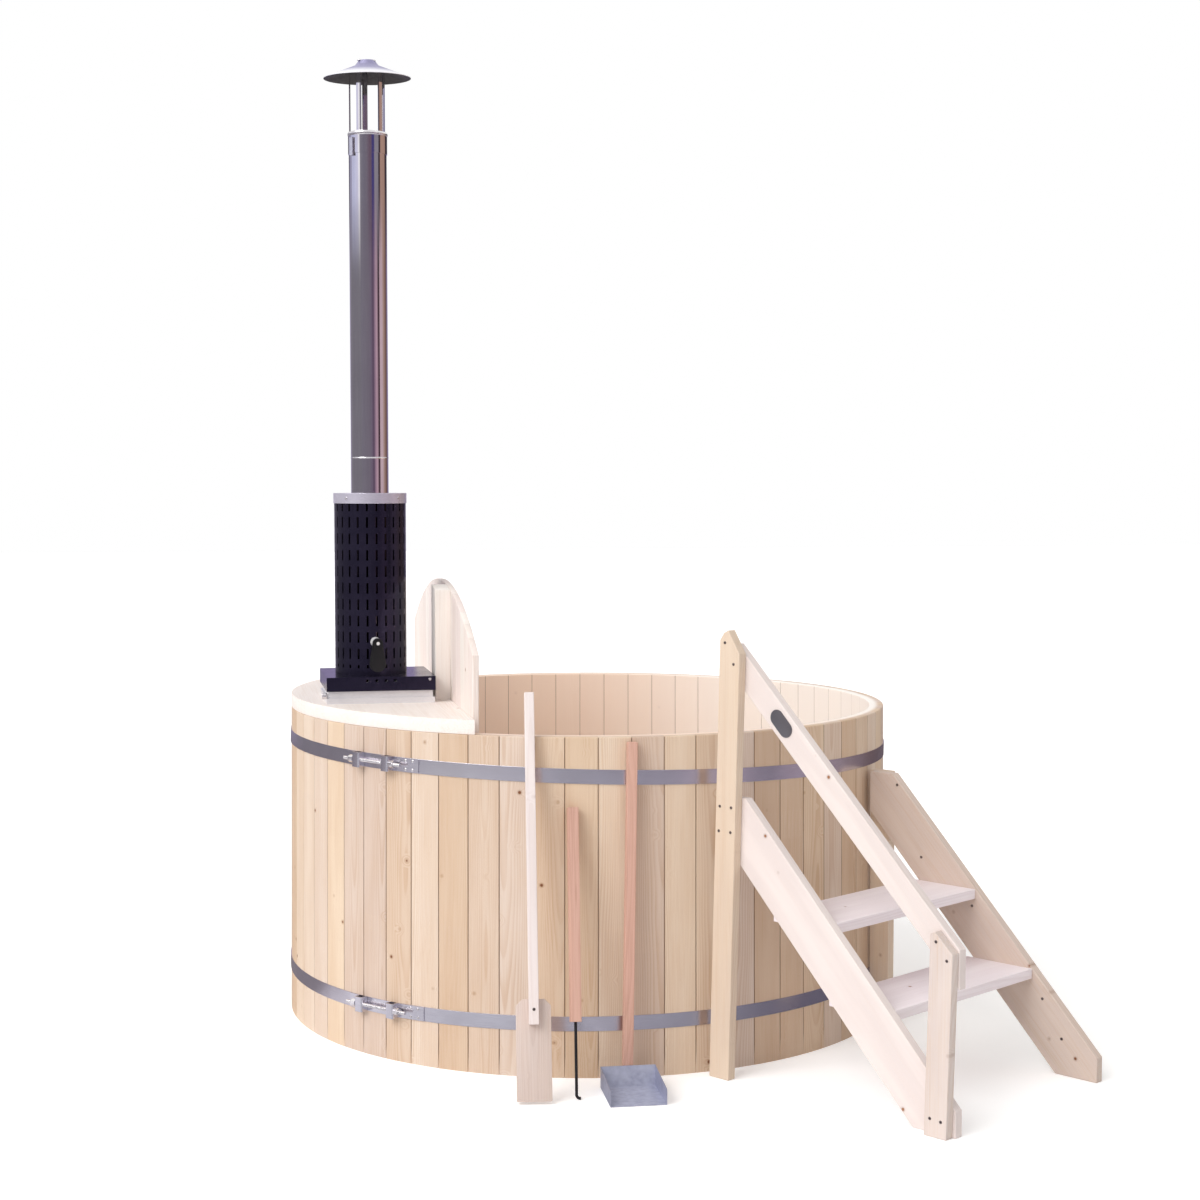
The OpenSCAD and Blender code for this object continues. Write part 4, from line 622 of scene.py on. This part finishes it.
# The outline of a stave at one height. Shrink rounds the rim, and cut is how deep the floor's groove is.
def staveRing(level, shrink, cut):
    wall = stave["radius"] + stave["flare"] * (1 - level / stave["height"])
    outer, inner = wall - shrink, wall - stave["thick"] + shrink
    outerEdge, innerEdge = outer - stave["outerBevel"], inner + (cut or stave["innerBevel"])
    spread = half * (1 - stave["outerBevel"] / outer / half)
    bow = half * (1 - (0.0 if cut else stave["innerBevel"]) / inner / half)
    points = []
    for i in range(stave["outerSteps"] + 1):
        a = spread * (2 * i / stave["outerSteps"] - 1)
        points.append((outer * math.cos(a), outer * math.sin(a), level))
    points += [(r * math.cos(half), r * math.sin(half), level) for r in (outerEdge, innerEdge)]
    for i in range(stave["innerSteps"] + 1):
        a = bow * (1 - 2 * i / stave["innerSteps"])
        points.append(((inner + cut) * math.cos(a), (inner + cut) * math.sin(a), level))
    return points + [(r * math.cos(half), -r * math.sin(half), level) for r in (innerEdge, outerEdge)]


def drilledCopy(blank, name):
    bm = bmesh.new()
    through = Matrix.Translation((stave["drillAt"], 0, stave["holeHeight"]))
    bmesh.ops.create_cone(bm, cap_ends=True, segments=stave["holeSides"], radius1=stave["holeRadius"],
                          radius2=stave["holeRadius"], depth=stave["drillLength"],
                          matrix=through @ Matrix.Rotation(math.pi / 2, 4, "Y"))
    bit, holder = newObject("drillBit", meshOf(bm, "drillBit")), newObject("drilledBlank", blank)
    cut = holder.modifiers.new("Drill", "BOOLEAN")
    cut.operation, cut.solver, cut.object = "DIFFERENCE", "EXACT", bit
    graph = bpy.context.evaluated_depsgraph_get()
    mesh = bpy.data.meshes.new_from_object(holder.evaluated_get(graph), depsgraph=graph)
    mesh.name = name
    bpy.data.objects.remove(holder)
    bpy.data.objects.remove(bit)
    return mesh


def staveMesh(name, drilled):
    top, bevel, deep = stave["height"], stave["rimBevel"], stave["grooveDepth"]
    bow = bevel * stave["rimBow"]
    levels = [(0, 0, 0), (stave["grooveLow"], 0, 0), (stave["grooveLow"], 0, deep),
              (stave["grooveTop"], 0, deep), (stave["grooveTop"], 0, 0)]
    levels += [(level, 0, 0) for level in stave["midLevels"]]
    levels += [(top - bevel, 0, 0), (top - bow, bow, 0), (top, bevel, 0)]
    bm = skinned([staveRing(*level) for level in levels])
    bmesh.ops.remove_doubles(bm, verts=bm.verts, dist=0.001 * mm)
    bmesh.ops.recalc_face_normals(bm, faces=bm.faces)
    mesh = meshOf(bm, name)
    if drilled:
        mesh = drilledCopy(mesh, name)
    co = coordsOf(mesh)
    turn, far = np.arctan2(co[:, 1], co[:, 0]), np.hypot(co[:, 0], co[:, 1])
    storeOnPoints(mesh, "grain", np.stack([co[:, 2], turn * far, far - stave["radius"]], 1))
    between = (co[:, 2] > stave["jointLow"]) & (co[:, 2] < top - bevel * 0.5)  # the joint stays off both ends
    storeOnPoints(mesh, "joint", (np.abs(turn) > half * 0.999) & between)
    return mesh


staveTree, given, result = newTree("stavesRoundTub", [
    ("Count", "NodeSocketInt"), ("Turn", "NodeSocketFloat"), ("Drilled stave", "NodeSocketObject"),
    ("Drilled place", "NodeSocketInt"), ("Seed", "NodeSocketInt"), ("Wood", "NodeSocketMaterial"),
])
points = addNode(staveTree, "GeometryNodePoints", {0: given.outputs["Count"]})
index = addNode(staveTree, "GeometryNodeInputIndex")
pitch = addNode(staveTree, mathNode, {0: 2 * math.pi, 1: given.outputs["Count"]}, operation="DIVIDE")
middle = addNode(staveTree, mathNode, {0: index, 1: 0.5}, **plus)
angle = addNode(staveTree, mathNode, {0: middle, 1: pitch, 2: given.outputs["Turn"]}, **timesPlus)
turned = addNode(staveTree, "ShaderNodeCombineXYZ", {2: angle})
isDrilled = addNode(staveTree, "FunctionNodeCompare", {2: index, 3: given.outputs["Drilled place"]},
                    data_type="INT", operation="EQUAL")
isBlank = addNode(staveTree, "FunctionNodeBooleanMath", {0: isDrilled}, operation="NOT")
drilledOne = addNode(staveTree, "GeometryNodeObjectInfo", {0: given.outputs["Drilled stave"]})
blankSet = addNode(staveTree, "GeometryNodeInstanceOnPoints", {
    "Points": points, "Selection": isBlank, "Instance": given.outputs["Geometry"], "Rotation": turned})
drilledSet = addNode(staveTree, "GeometryNodeInstanceOnPoints", {
    "Points": points, "Selection": isDrilled, "Instance": drilledOne.outputs["Geometry"], "Rotation": turned})
joined = addNode(staveTree, "GeometryNodeJoinGeometry", {0: blankSet})
staveTree.links.new(drilledSet.outputs[0], joined.inputs[0])
chance = addNode(staveTree, "FunctionNodeRandomValue", {"Seed": given.outputs["Seed"]}, data_type="FLOAT")
stored = addNode(staveTree, "GeometryNodeStoreNamedAttribute", {
    "Geometry": joined, "Name": "board", "Value": chance.outputs[1]}, data_type="FLOAT", domain="INSTANCE")
endTree(staveTree, stored, given.outputs["Wood"], result)

drilledObj = newObject("drilledStave", staveMesh("drilledStave", True))
mesh = plainMesh("Staves", staveTree, staveMesh("blankStave", False), {
    "Count": stave["count"], "Turn": stave["turn"] - math.pi / 2, "Drilled stave": drilledObj,
    "Drilled place": stave["drilled"], "Seed": stave["seed"], "Wood": spruceStaves})
bpy.data.objects.remove(drilledObj)
placePiece("Staves", mesh, "wall_staves", spruceStaves, "tub_wood")
print("staves made:", len(mesh.polygons), "faces")


# Metal sheet, pipes and fittings: edges broken by the given size, faces smooth up to the given angle.
# Where an edge is broken the angle is small, so that flat faces stay flat.

for source, material, slotName, edge, smooth in [
    ("upper_hoop", bandSteel, "band_steel", 0.4 * mm, 20),
    ("lower_hoop", bandSteel, "band_steel", 0.4 * mm, 20),
    ("tension_lugs", bandSteel, "fastener_steel", 0.6 * mm, 20),
    ("stove_flange", satinAluminium, "flange_metal", 0.8 * mm, 20),
    ("stove_cover", blackPaint, "black_metal", 0.7 * mm, 20),
    # the lower pipe's finish has painted shade where the shield hides it
    ("lower_flue", heatedSteel, "flue_steel", 0, 30),
    ("upper_flue", flueSteel, "flue_steel", 0, 30),
    ("flue_band", flueSteel, "flue_steel", 0, 30),
    ("heat_shield", blackPaint, "black_metal", 0, 30),
    ("shield_collar", collarSteel, "flange_metal", 0.4 * mm, 20),
    ("cap_legs", flueSteel, "flue_steel", 0, 30),
    ("rain_cap", capSteel, "flue_steel", 0, 25),
    ("stove_body", stoveSheet, "stove_metal", 1.5 * mm, 20),
    ("fire_grate", castIron, "grate_iron", 0, 30),
    ("hatch_collar", stoveSheet, "stove_metal", 0.8 * mm, 20),
    ("hatch_lid", stoveSheet, "stove_metal", 1.0 * mm, 20),
    ("hatch_knob", bakelite, "knob_black", 0, 40),
    ("hatch_pins", brightSteel, "fastener_steel", 0.5 * mm, 20),
    ("air_shutter", satinAluminium, "flange_metal", 0.4 * mm, 20),
    ("air_knob", brightSteel, "fastener_steel", 0.8 * mm, 20),
    ("damper_spindle", castZinc, "fastener_steel", 0.8 * mm, 20),
    ("damper_plate", castIron, "grate_iron", 0.3 * mm, 20),
    ("damper_lever", leverPaint, "black_metal", 1.2 * mm, 20),
    ("drain_pipe", pipePlastic, "pipe_plastic", 0, 30),
    ("drain_valve", brass, "valve_brass", 0, 30),
    ("valve_ball", brass, "valve_brass", 0, 30),
    ("valve_lever", redPaint, "lever_paint", 0.6 * mm, 20),
    ("poker_rod", blackIron, "rod_iron", 0, 40),
    ("scoop", galvanised, "galvanised", 0, 30),
]:
    remade(source, material, slotName, edge=edge, smooth=smooth)

# The oval plate is blank, with a raised rim
plate = {"rim": 3.5 * mm, "recess": 0.9 * mm, "edge": 0.4 * mm, "sharpFrom": 20}


def sinkFace(bm):
    front = max(bm.faces, key=lambda f: f.calc_area() * f.normal.dot(-sideways))
    bmesh.ops.inset_individual(bm, faces=[front], thickness=plate["rim"], depth=-plate["recess"])


remade("oval_plate", castPlate, "plate_metal", edge=plate["edge"], smooth=plate["sharpFrom"], work=sinkFace)


# Rivets, screws and nuts: a node tree sets a blank on each spot. A blank stands on z = 0, and its length
# runs up z.

fastener = {
    "sides": 24, "rivetRadius": 4 * mm, "rivetHeight": 2 * mm, "screwRadius": 4 * mm, "screwHeight": 1.5 * mm,
    "recess": 0.45, "recessWaist": 0.72, "recessDepth": 0.9 * mm, "nutCorners": 22 * mm,
    "nutLength": 16 * mm, "nutBore": 5.05 * mm, "nutChamfer": 0.92, "nutEdge": 0.09, "sharpFrom": 25,
    "seed": 7,
}
# radius and height along the head, as shares of the whole
domeOutline = [(1, 0), (1, 0.25), (0.92, 0.55), (0.72, 0.82), (0.42, 0.96), (0.15, 1)]
headOutline = [(1, 0), (1, 0.45), (0.93, 0.8), (0.8, 1), (0.56, 1)]


# Each ring has a radius for every corner, and a height
def turnedMesh(name, rings, closed=False):
    sides = len(rings[0][0])
    bm = skinned([[(r * math.cos(2 * math.pi * i / sides), r * math.sin(2 * math.pi * i / sides), z)
                   for i, r in enumerate(radii)] for radii, z in rings], closed)
    bmesh.ops.recalc_face_normals(bm, faces=bm.faces)
    return meshOf(bm, name)


def roundRings(radius, height, outline):
    return [([radius * r] * fastener["sides"], height * z) for r, z in outline]


star = [fastener["recess"] * (1 if i % 4 < 2 else fastener["recessWaist"]) * fastener["screwRadius"]
        for i in range(fastener["sides"])]
flat = fastener["nutCorners"] / 2 * math.cos(math.pi / 6)
hexagon = [flat / math.cos((2 * math.pi * i / fastener["sides"]) % (math.pi / 3) - math.pi / 6)
           for i in range(fastener["sides"])]
lowHexagon = [min(r, fastener["nutCorners"] / 2 * fastener["nutChamfer"]) for r in hexagon]
bore = [fastener["nutBore"]] * fastener["sides"]
length, step = fastener["nutLength"], fastener["nutLength"] * fastener["nutEdge"]
rivetRings = roundRings(fastener["rivetRadius"], fastener["rivetHeight"], domeOutline)
screwRings = roundRings(fastener["screwRadius"], fastener["screwHeight"], headOutline)
screwRings += [(star, fastener["screwHeight"]), (star, fastener["screwHeight"] - fastener["recessDepth"])]
nutRings = [(bore, 0), (lowHexagon, 0), (hexagon, step), (hexagon, length - step), (lowHexagon, length),
            (bore, length)]
blanks = {
    "rivet": turnedMesh("rivetBlank", rivetRings), "screw": turnedMesh("screwBlank", screwRings),
    "nut": turnedMesh("nutBlank", nutRings, closed=True),
}
for mesh in blanks.values():
    shadeSmooth(mesh, fastener["sharpFrom"])

spotTree, given, result = newTree("fastenersOnSpots", [
    ("Blank", "NodeSocketObject"), ("Random turn", "NodeSocketFloat"), ("Seed", "NodeSocketInt"),
    ("Finish", "NodeSocketMaterial"),
])
axis = addNode(spotTree, "GeometryNodeInputNamedAttribute", {"Name": "axis"}, data_type="FLOAT_VECTOR")
spin = addNode(spotTree, "GeometryNodeInputNamedAttribute", {"Name": "spin"}, data_type="FLOAT")
chance = addNode(spotTree, "FunctionNodeRandomValue", {"Seed": given.outputs["Seed"]}, data_type="FLOAT")
turn = addNode(spotTree, mathNode, {
    0: chance.outputs[1], 1: given.outputs["Random turn"], 2: spin}, **timesPlus)
aligned = addNode(spotTree, "FunctionNodeAlignRotationToVector", {"Vector": axis}, axis="Z")
turned = addNode(spotTree, "FunctionNodeRotateRotation", {
    "Rotation": aligned, "Rotate By": addNode(spotTree, "ShaderNodeCombineXYZ", {2: turn})},
                 rotation_space="LOCAL")
blank = addNode(spotTree, "GeometryNodeObjectInfo", {0: given.outputs["Blank"]})
placed = addNode(spotTree, "GeometryNodeInstanceOnPoints", {
    "Points": given.outputs["Geometry"], "Instance": blank.outputs["Geometry"], "Rotation": turned})
endTree(spotTree, placed, given.outputs["Finish"], result)


# The middle, own axes and corners of each solid in a node
def solidsOf(source):
    mesh = meshOf(mergedCopy(source), "solids")
    label, co = islandsOf(mesh), coordsOf(mesh)
    bpy.data.meshes.remove(mesh)
    for k in range(label.max() + 1):
        part = co[label == k]
        middle = (part.min(0) + part.max(0)) / 2
        yield middle, np.linalg.svd(part - middle, full_matrices=False)[2], part


# A point at the foot of each solid, with the way it stands
def spotMesh(source, long, facing):
    centres, axes, spins = [], [], []
    for middle, own, part in solidsOf(source):
        axis = own[0] if long else own[2]
        if axis @ facing(middle) < 0:
            axis = -axis
        centres.append(middle + axis * ((part - middle) @ axis).min())
        axes.append(axis)
        spins.append(math.atan2(axis[1], axis[0]) if long else 0.0)
    mesh = bpy.data.meshes.new("spots")
    mesh.from_pydata(centres, [], [])
    storeOnPoints(mesh, "axis", axes)
    storeOnPoints(mesh, "spin", spins)
    return mesh


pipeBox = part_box("upper_flue")
pipe = (pipeBox[0] + pipeBox[1]) / 2
pipeRadius = (pipeBox[1].x - pipeBox[0].x) / 2
fromTub = lambda c: np.array((c[0], c[1], 0.0))
fromPipe = lambda c: np.array((c[0] - pipe.x, c[1] - pipe.y, 0.0))
fromStairs = lambda c: -np.array(sideways)
forward = lambda c: np.array((0.0, -1.0, 0.0))
for source, kind, long, facing, material, slotName in [
    ("hoop_rivets", "rivet", False, fromTub, brightSteel, "fastener_steel"),
    ("collar_screws", "screw", False, fromPipe, brightSteel, "fastener_steel"),
    ("stair_screws", "screw", False, fromStairs, screwSteel, "screw_steel"),
    ("paddle_screw", "screw", False, forward, screwSteel, "screw_steel"),
    ("tension_nuts", "nut", True, forward, brightSteel, "fastener_steel"),
]:
    holder = newObject(kind + "Blank", blanks[kind])
    mesh = plainMesh(pieceName(source), spotTree, spotMesh(source, long, facing), {
        "Blank": holder, "Random turn": 0.0 if long else 2 * math.pi, "Seed": fastener["seed"],
        "Finish": material})
    bpy.data.objects.remove(holder)
    placePiece(pieceName(source), mesh, source, material, slotName)
print("fasteners set")


# Trim of the pipe and the cover. A bead is given by its foot, top, bulge and the sheet that it lies on,
# and a rivet of the cap by its place and radius.

trim = {
    "beads": [(2.629, 2.641, 1.6 * mm, 1.7 * mm), (1.6845, 1.6885, 0.8 * mm, 0)], "beadSides": 96,
    "beadSteps": 6, "beadRoot": 0.5 * mm, "clampTurn": math.radians(-146), "clampHeight": 2.596,
    "clampSize": (14 * mm, 5 * mm, 52 * mm), "clampLift": 2.5 * mm, "sharpFrom": 30,
    "capRivets": [(-0.7154, 2.849, 7 * mm), (-0.6747, 2.849, 7 * mm), (-0.7446, 2.822, 6 * mm)],
    "capRivetsForward": 12 * mm, "capRivetRise": 2.5, "coverScrew": (-0.534, -0.3298, 1.0388),
}


def addPlaced(bm, mesh, placed):
    start = len(bm.verts)
    bm.from_mesh(mesh)
    bm.verts.ensure_lookup_table()
    for v in bm.verts[start:]:
        v.co = placed @ v.co


bm = bmesh.new()
steps, centre = trim["beadSteps"], Matrix.Translation((pipe.x, pipe.y, 0))
for low, high, bulge, under in trim["beads"]:
    radius = pipeRadius + under
    outline = [(radius + bulge * math.sin(math.pi * t / steps), low + (high - low) * t / steps)
               for t in range(steps + 1)]
    outline += [(radius - trim["beadRoot"], high), (radius - trim["beadRoot"], low)]
    addPlaced(bm, turnedMesh("bead", [([r] * trim["beadSides"], z) for r, z in outline], closed=True), centre)
wide, deep, tall = trim["clampSize"]
out = Matrix.Translation((pipeRadius + trim["clampLift"] + deep / 2, 0, trim["clampHeight"]))
bmesh.ops.create_cube(bm, size=1.0, matrix=centre @ Matrix.Rotation(trim["clampTurn"], 4, "Z") @ out @
                      Matrix.Diagonal((deep, wide, tall, 1)))
for x, z, radius in trim["capRivets"]:
    size = radius / fastener["rivetRadius"]
    addPlaced(bm, blanks["rivet"], Matrix.Translation((x, pipe.y - trim["capRivetsForward"], z)) @
              Matrix.Diagonal((size, size, trim["capRivetRise"], 1)))
bmesh.ops.recalc_face_normals(bm, faces=bm.faces)
trimMesh = meshOf(bm, "FlueTrim")
shadeSmooth(trimMesh, trim["sharpFrom"])
bm = bmesh.new()
addPlaced(bm, blanks["screw"], Matrix.Translation(trim["coverScrew"]) @ Matrix.Rotation(math.pi / 2, 4, "X"))
for mesh in (trimMesh, meshOf(bm, "CoverScrew")):
    mesh.materials.append(brightSteel)
    obj = newObject(mesh.name, mesh)
    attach(obj, nodes["upper_flue"]["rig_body"])

# Tension rods with a rolled thread along their whole length, which runs out at the ends
thread = {
    "pitch": 1.5 * mm, "depth": 0.6 * mm, "sides": 20, "stepsPerPitch": 4, "runOut": 1.5, "sharpFrom": 50,
}


def threadedRods():
    corners, faces, sides = [], [], thread["sides"]
    for middle, own, part in solidsOf("tension_rods"):
        axis = Vector(own[0])
        reach = (part - middle) @ own[0]
        length = reach.max() - reach.min()
        radius = np.linalg.norm(part - middle - np.outer(reach, own[0]), axis=1).max()
        turnedAlong = upward.rotation_difference(axis).to_matrix().to_4x4()
        placed = Matrix.Translation(Vector(middle) + axis * reach.min()) @ turnedAlong
        rings, start = round(length / thread["pitch"] * thread["stepsPerPitch"]), len(corners)
        for i in range(rings + 1):
            z = length * i / rings
            end = min(1.0, min(z, length - z) / thread["pitch"])
            for j in range(sides):
                a = 2 * math.pi * j / sides
                phase = (z / thread["pitch"] - j / sides) % 1
                r = radius - thread["depth"] * (abs(2 * phase - 1) * end + (1 - end) * thread["runOut"])
                corners.append(placed @ Vector((r * math.cos(a), r * math.sin(a), z)))
        for i in range(rings):
            for j in range(sides):
                a, b = start + i * sides + j, start + i * sides + (j + 1) % sides
                faces.append((a, b, b + sides, a + sides))
        faces.append(tuple(start + j for j in reversed(range(sides))))
        faces.append(tuple(start + rings * sides + j for j in range(sides)))
    mesh = bpy.data.meshes.new("TensionRods")
    mesh.from_pydata(corners, [], faces)
    shadeSmooth(mesh, thread["sharpFrom"])
    return mesh


placePiece("TensionRods", threadedRods(), "tension_rods", brightSteel, "fastener_steel")

# Dark grey on the faces of the rain cap that look down
capUnderside = {"down": -0.3}
mesh = bpy.data.objects["RainCap"].data
mesh.materials.append(sootedSteel)
for face in mesh.polygons:
    if face.normal.z < capUnderside["down"]:
        face.material_index = 1
print("metal pieces made")


# Camera at the photograph's place

photograph = {"lens": 60.948, "sensor": 36, "place": (-1.2063, -6.2405, 1.621), "tilt": 3.382, "turn": 11.292}
camera = bpy.data.cameras.new("camera")
camera.lens, camera.sensor_width = photograph["lens"], photograph["sensor"]
cameraObj = newObject("camera", camera)
cameraObj.location = photograph["place"]
cameraObj.rotation_euler = (math.radians(90 - photograph["tilt"]), 0, math.radians(-photograph["turn"]))
bpy.context.scene.camera = cameraObj

# Floor, world and lamp. The glow is for the camera alone, and worldLeft and worldRight light the object.
studio = {
    "floor": "#f4f3f2", "floorGlow": 0.25, "floorHalf": 40, "worldLeft": 0.93, "worldRight": 0.6,
    "key": 1.75, "keySpread": 40, "keyTurn": (50, 0, -60), "ringRadius": 7.5, "ringFoot": 0.01,
    "ringHeight": 4.6, "ringSides": 96, "highFrom": (3.0, 3.5), "farFrom": (1.8, 3.0),
}
# What bright metal mirrors: compass angle as seen from the pipe (degrees), colour
surroundings = [
    (-180, "#7c7980"), (-146, "#7c7980"), (-141, "#7b7781"), (-95, "#77707b"), (-80, "#75697a"),
    (-74, "#68586b"), (-66, "#625264"), (-60, "#93788b"), (-46, "#c0a1ad"), (-36, "#6d5560"),
    (-32, "#2a1c22"), (-27, "#2a1c22"), (-25, "#c8adb3"), (-6, "#c6aeb4"), (4, "#b0958b"),
    (28, "#7c5c50"), (40, "#6b6068"), (85, "#bfafe0"), (120, "#8a8790"), (150, "#7c7980"),
]
# The same for what lies high up, which the top of the pipe mirrors
highSurroundings = [
    (-180, "#cfd2ea"), (-156, "#dcdcee"), (-152, "#ffffff"), (-146, "#ffffff"), (-142, "#86838c"),
    (-120, "#77737f"), (-103, "#77707c"), (-85, "#6e5c6a"), (-73, "#6a5a6c"), (-70, "#4a4478"),
    (-58, "#4a4478"), (-53, "#8d8890"), (-30, "#8d8890"), (-26, "#3a3038"), (-18, "#3a3038"),
    (-12, "#b09080"), (26, "#a88a7c"), (32, "#2e262c"), (60, "#4e4650"), (90, "#6b6872"),
    (118, "#565160"), (124, "#9a98b0"), (148, "#a4a2b8"), (154, "#c8cbe4"),
]
# The same for the ground, which the hoops mirror
groundMirrored = [
    (-180, "#bdb6bc"), (-165, "#eae7ed"), (-150, "#ffffff"), (-125, "#f6f6fb"), (-109, "#d3d3d9"),
    (-90, "#c8c8cf"), (-68, "#bdbcc4"), (-29, "#9a94a4"), (0, "#857d8c"), (30, "#615459"),
    (90, "#807780"), (130, "#7b7378"), (155, "#978f95"),
]
# and close to the tub, where the lower hoop finds it
nearMirrored = [
    (-180, "#bdb6bc"), (-165, "#f2eff5"), (-136, "#d0d0d6"), (-118, "#cacad0"), (-100, "#b8b6be"),
    (-77, "#9a99a2"), (-50, "#6e6a78"), (0, "#5c5560"), (90, "#6d656b"), (150, "#8b8389"),
]


def compassRamp(tree, listed):
    place = addNode(tree, "ShaderNodeSeparateXYZ", {0: addNode(tree, "ShaderNodeTexCoord").outputs["Object"]})
    compass = addNode(tree, mathNode, {0: place.outputs[1], 1: place.outputs[0]}, operation="ARCTAN2")
    share = addNode(tree, rangeNode, {0: compass, 1: -math.pi, 2: math.pi})
    ramp = addNode(tree, "ShaderNodeValToRGB", {0: share})
    stops = ramp.color_ramp.elements
    stops.remove(stops[1])
    for i, (degrees, code) in enumerate(listed):
        at = (degrees + 180) / 360
        stop = stops.new(at) if i else stops[0]
        stop.position, stop.color = at, toLinear(code)
    return ramp.outputs[0], place.outputs[2]


material, tree, shader = newMaterial("paleFloor", {
    "Base Color": toLinear(studio["floor"]), "Roughness": 0.9, "Specular IOR Level": 0.0})
ray = addNode(tree, "ShaderNodeLightPath")
glow = addNode(tree, "ShaderNodeEmission", {0: (1, 1, 1, 1), 1: addNode(tree, mathNode, {
    0: ray.outputs["Is Camera Ray"], 1: studio["floorGlow"]}, **times)})
both = addNode(tree, "ShaderNodeAddShader", {0: shader, 1: glow})
away = addNode(tree, vectorNode, {0: addNode(tree, "ShaderNodeTexCoord").outputs["Object"]},
               operation="LENGTH")
farShare = addNode(tree, rangeNode, {0: away, 1: studio["farFrom"][0], 2: studio["farFrom"][1]})
ground = addNode(tree, mixNode, {
    0: farShare, 6: compassRamp(tree, nearMirrored)[0], 7: compassRamp(tree, groundMirrored)[0]}, **blended)
mirrored = addNode(tree, "ShaderNodeEmission", {0: ground})
both = addNode(tree, "ShaderNodeMixShader", {0: ray.outputs["Is Glossy Ray"], 1: both, 2: mirrored})
tree.links.new(both.outputs[0], tree.nodes["Material Output"].inputs[0])
mesh = bpy.data.meshes.new("floor")
far = studio["floorHalf"]
mesh.from_pydata([(-far, -far, 0), (far, -far, 0), (far, far, 0), (-far, far, 0)], [], [(0, 1, 2, 3)])
mesh.materials.append(material)
floor = newObject("floor", mesh)
floor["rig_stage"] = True

# A ring of soft cards round the object, which only bright metal mirrors
material = bpy.data.materials.new("surroundings")
material.use_nodes = True
tree = material.node_tree
tree.nodes.clear()
lowCards, height = compassRamp(tree, surroundings)
highCards = compassRamp(tree, highSurroundings)[0]
rise = addNode(tree, rangeNode, {0: height, 1: studio["highFrom"][0], 2: studio["highFrom"][1]})
cards = addNode(tree, mixNode, {0: rise, 6: lowCards, 7: highCards}, **blended)
glow = addNode(tree, "ShaderNodeEmission", {0: cards})
addNode(tree, "ShaderNodeOutputMaterial", {0: glow})
corners, faces, sides = [], [], studio["ringSides"]
for i in range(sides):
    a = 2 * math.pi * i / sides
    x, y = studio["ringRadius"] * math.cos(a), studio["ringRadius"] * math.sin(a)
    corners += [(x, y, studio["ringFoot"]), (x, y, studio["ringHeight"])]
    j = (i + 1) % sides
    faces.append((2 * i, 2 * j, 2 * j + 1, 2 * i + 1))
mesh = bpy.data.meshes.new("surroundings")
mesh.from_pydata(corners, [], faces)
mesh.materials.append(material)
ring = newObject("surroundings", mesh)
ring.location = (pipe.x, pipe.y, 0)
for sight in ("camera", "diffuse", "transmission", "volume_scatter", "shadow"):
    setattr(ring, "visible_" + sight, False)
ring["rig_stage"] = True

# The world is white to the camera and in mirrors. Its light is stronger from the left.
world = bpy.data.worlds.new("studio")
bpy.context.scene.world = world
world.use_nodes = True
tree = world.node_tree
ray = addNode(tree, "ShaderNodeLightPath")
seen = addNode(tree, mathNode, {
    0: ray.outputs["Is Camera Ray"], 1: ray.outputs["Is Glossy Ray"]}, operation="MAXIMUM")
seen = addNode(tree, mathNode, {0: seen, 1: ray.outputs["Is Transmission Ray"]}, operation="MAXIMUM")
sideOf = addNode(tree, "ShaderNodeSeparateXYZ", {0: addNode(tree, "ShaderNodeTexCoord").outputs["Generated"]})
diffuse = addNode(tree, rangeNode, {
    0: sideOf, 1: -1.0, 2: 1.0, 3: studio["worldLeft"], 4: studio["worldRight"]})
strength = addNode(tree, rangeNode, {0: seen, 3: diffuse, 4: 1.0})
tree.links.new(strength.outputs[0], tree.nodes["Background"].inputs[1])
tree.nodes["Background"].inputs[0].default_value = (1, 1, 1, 1)

lamp = bpy.data.lights.new("key", "SUN")
lamp.energy, lamp.angle = studio["key"], math.radians(studio["keySpread"])
key = newObject("key", lamp)
key.rotation_euler = tuple(math.radians(a) for a in studio["keyTurn"])
bpy.context.scene.view_settings.view_transform = "Standard"
print("camera, floor and lamp set")

low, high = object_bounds()
{"cad": [list(cadLow), list(cadHigh)], "visual": [list(low), list(high)]}
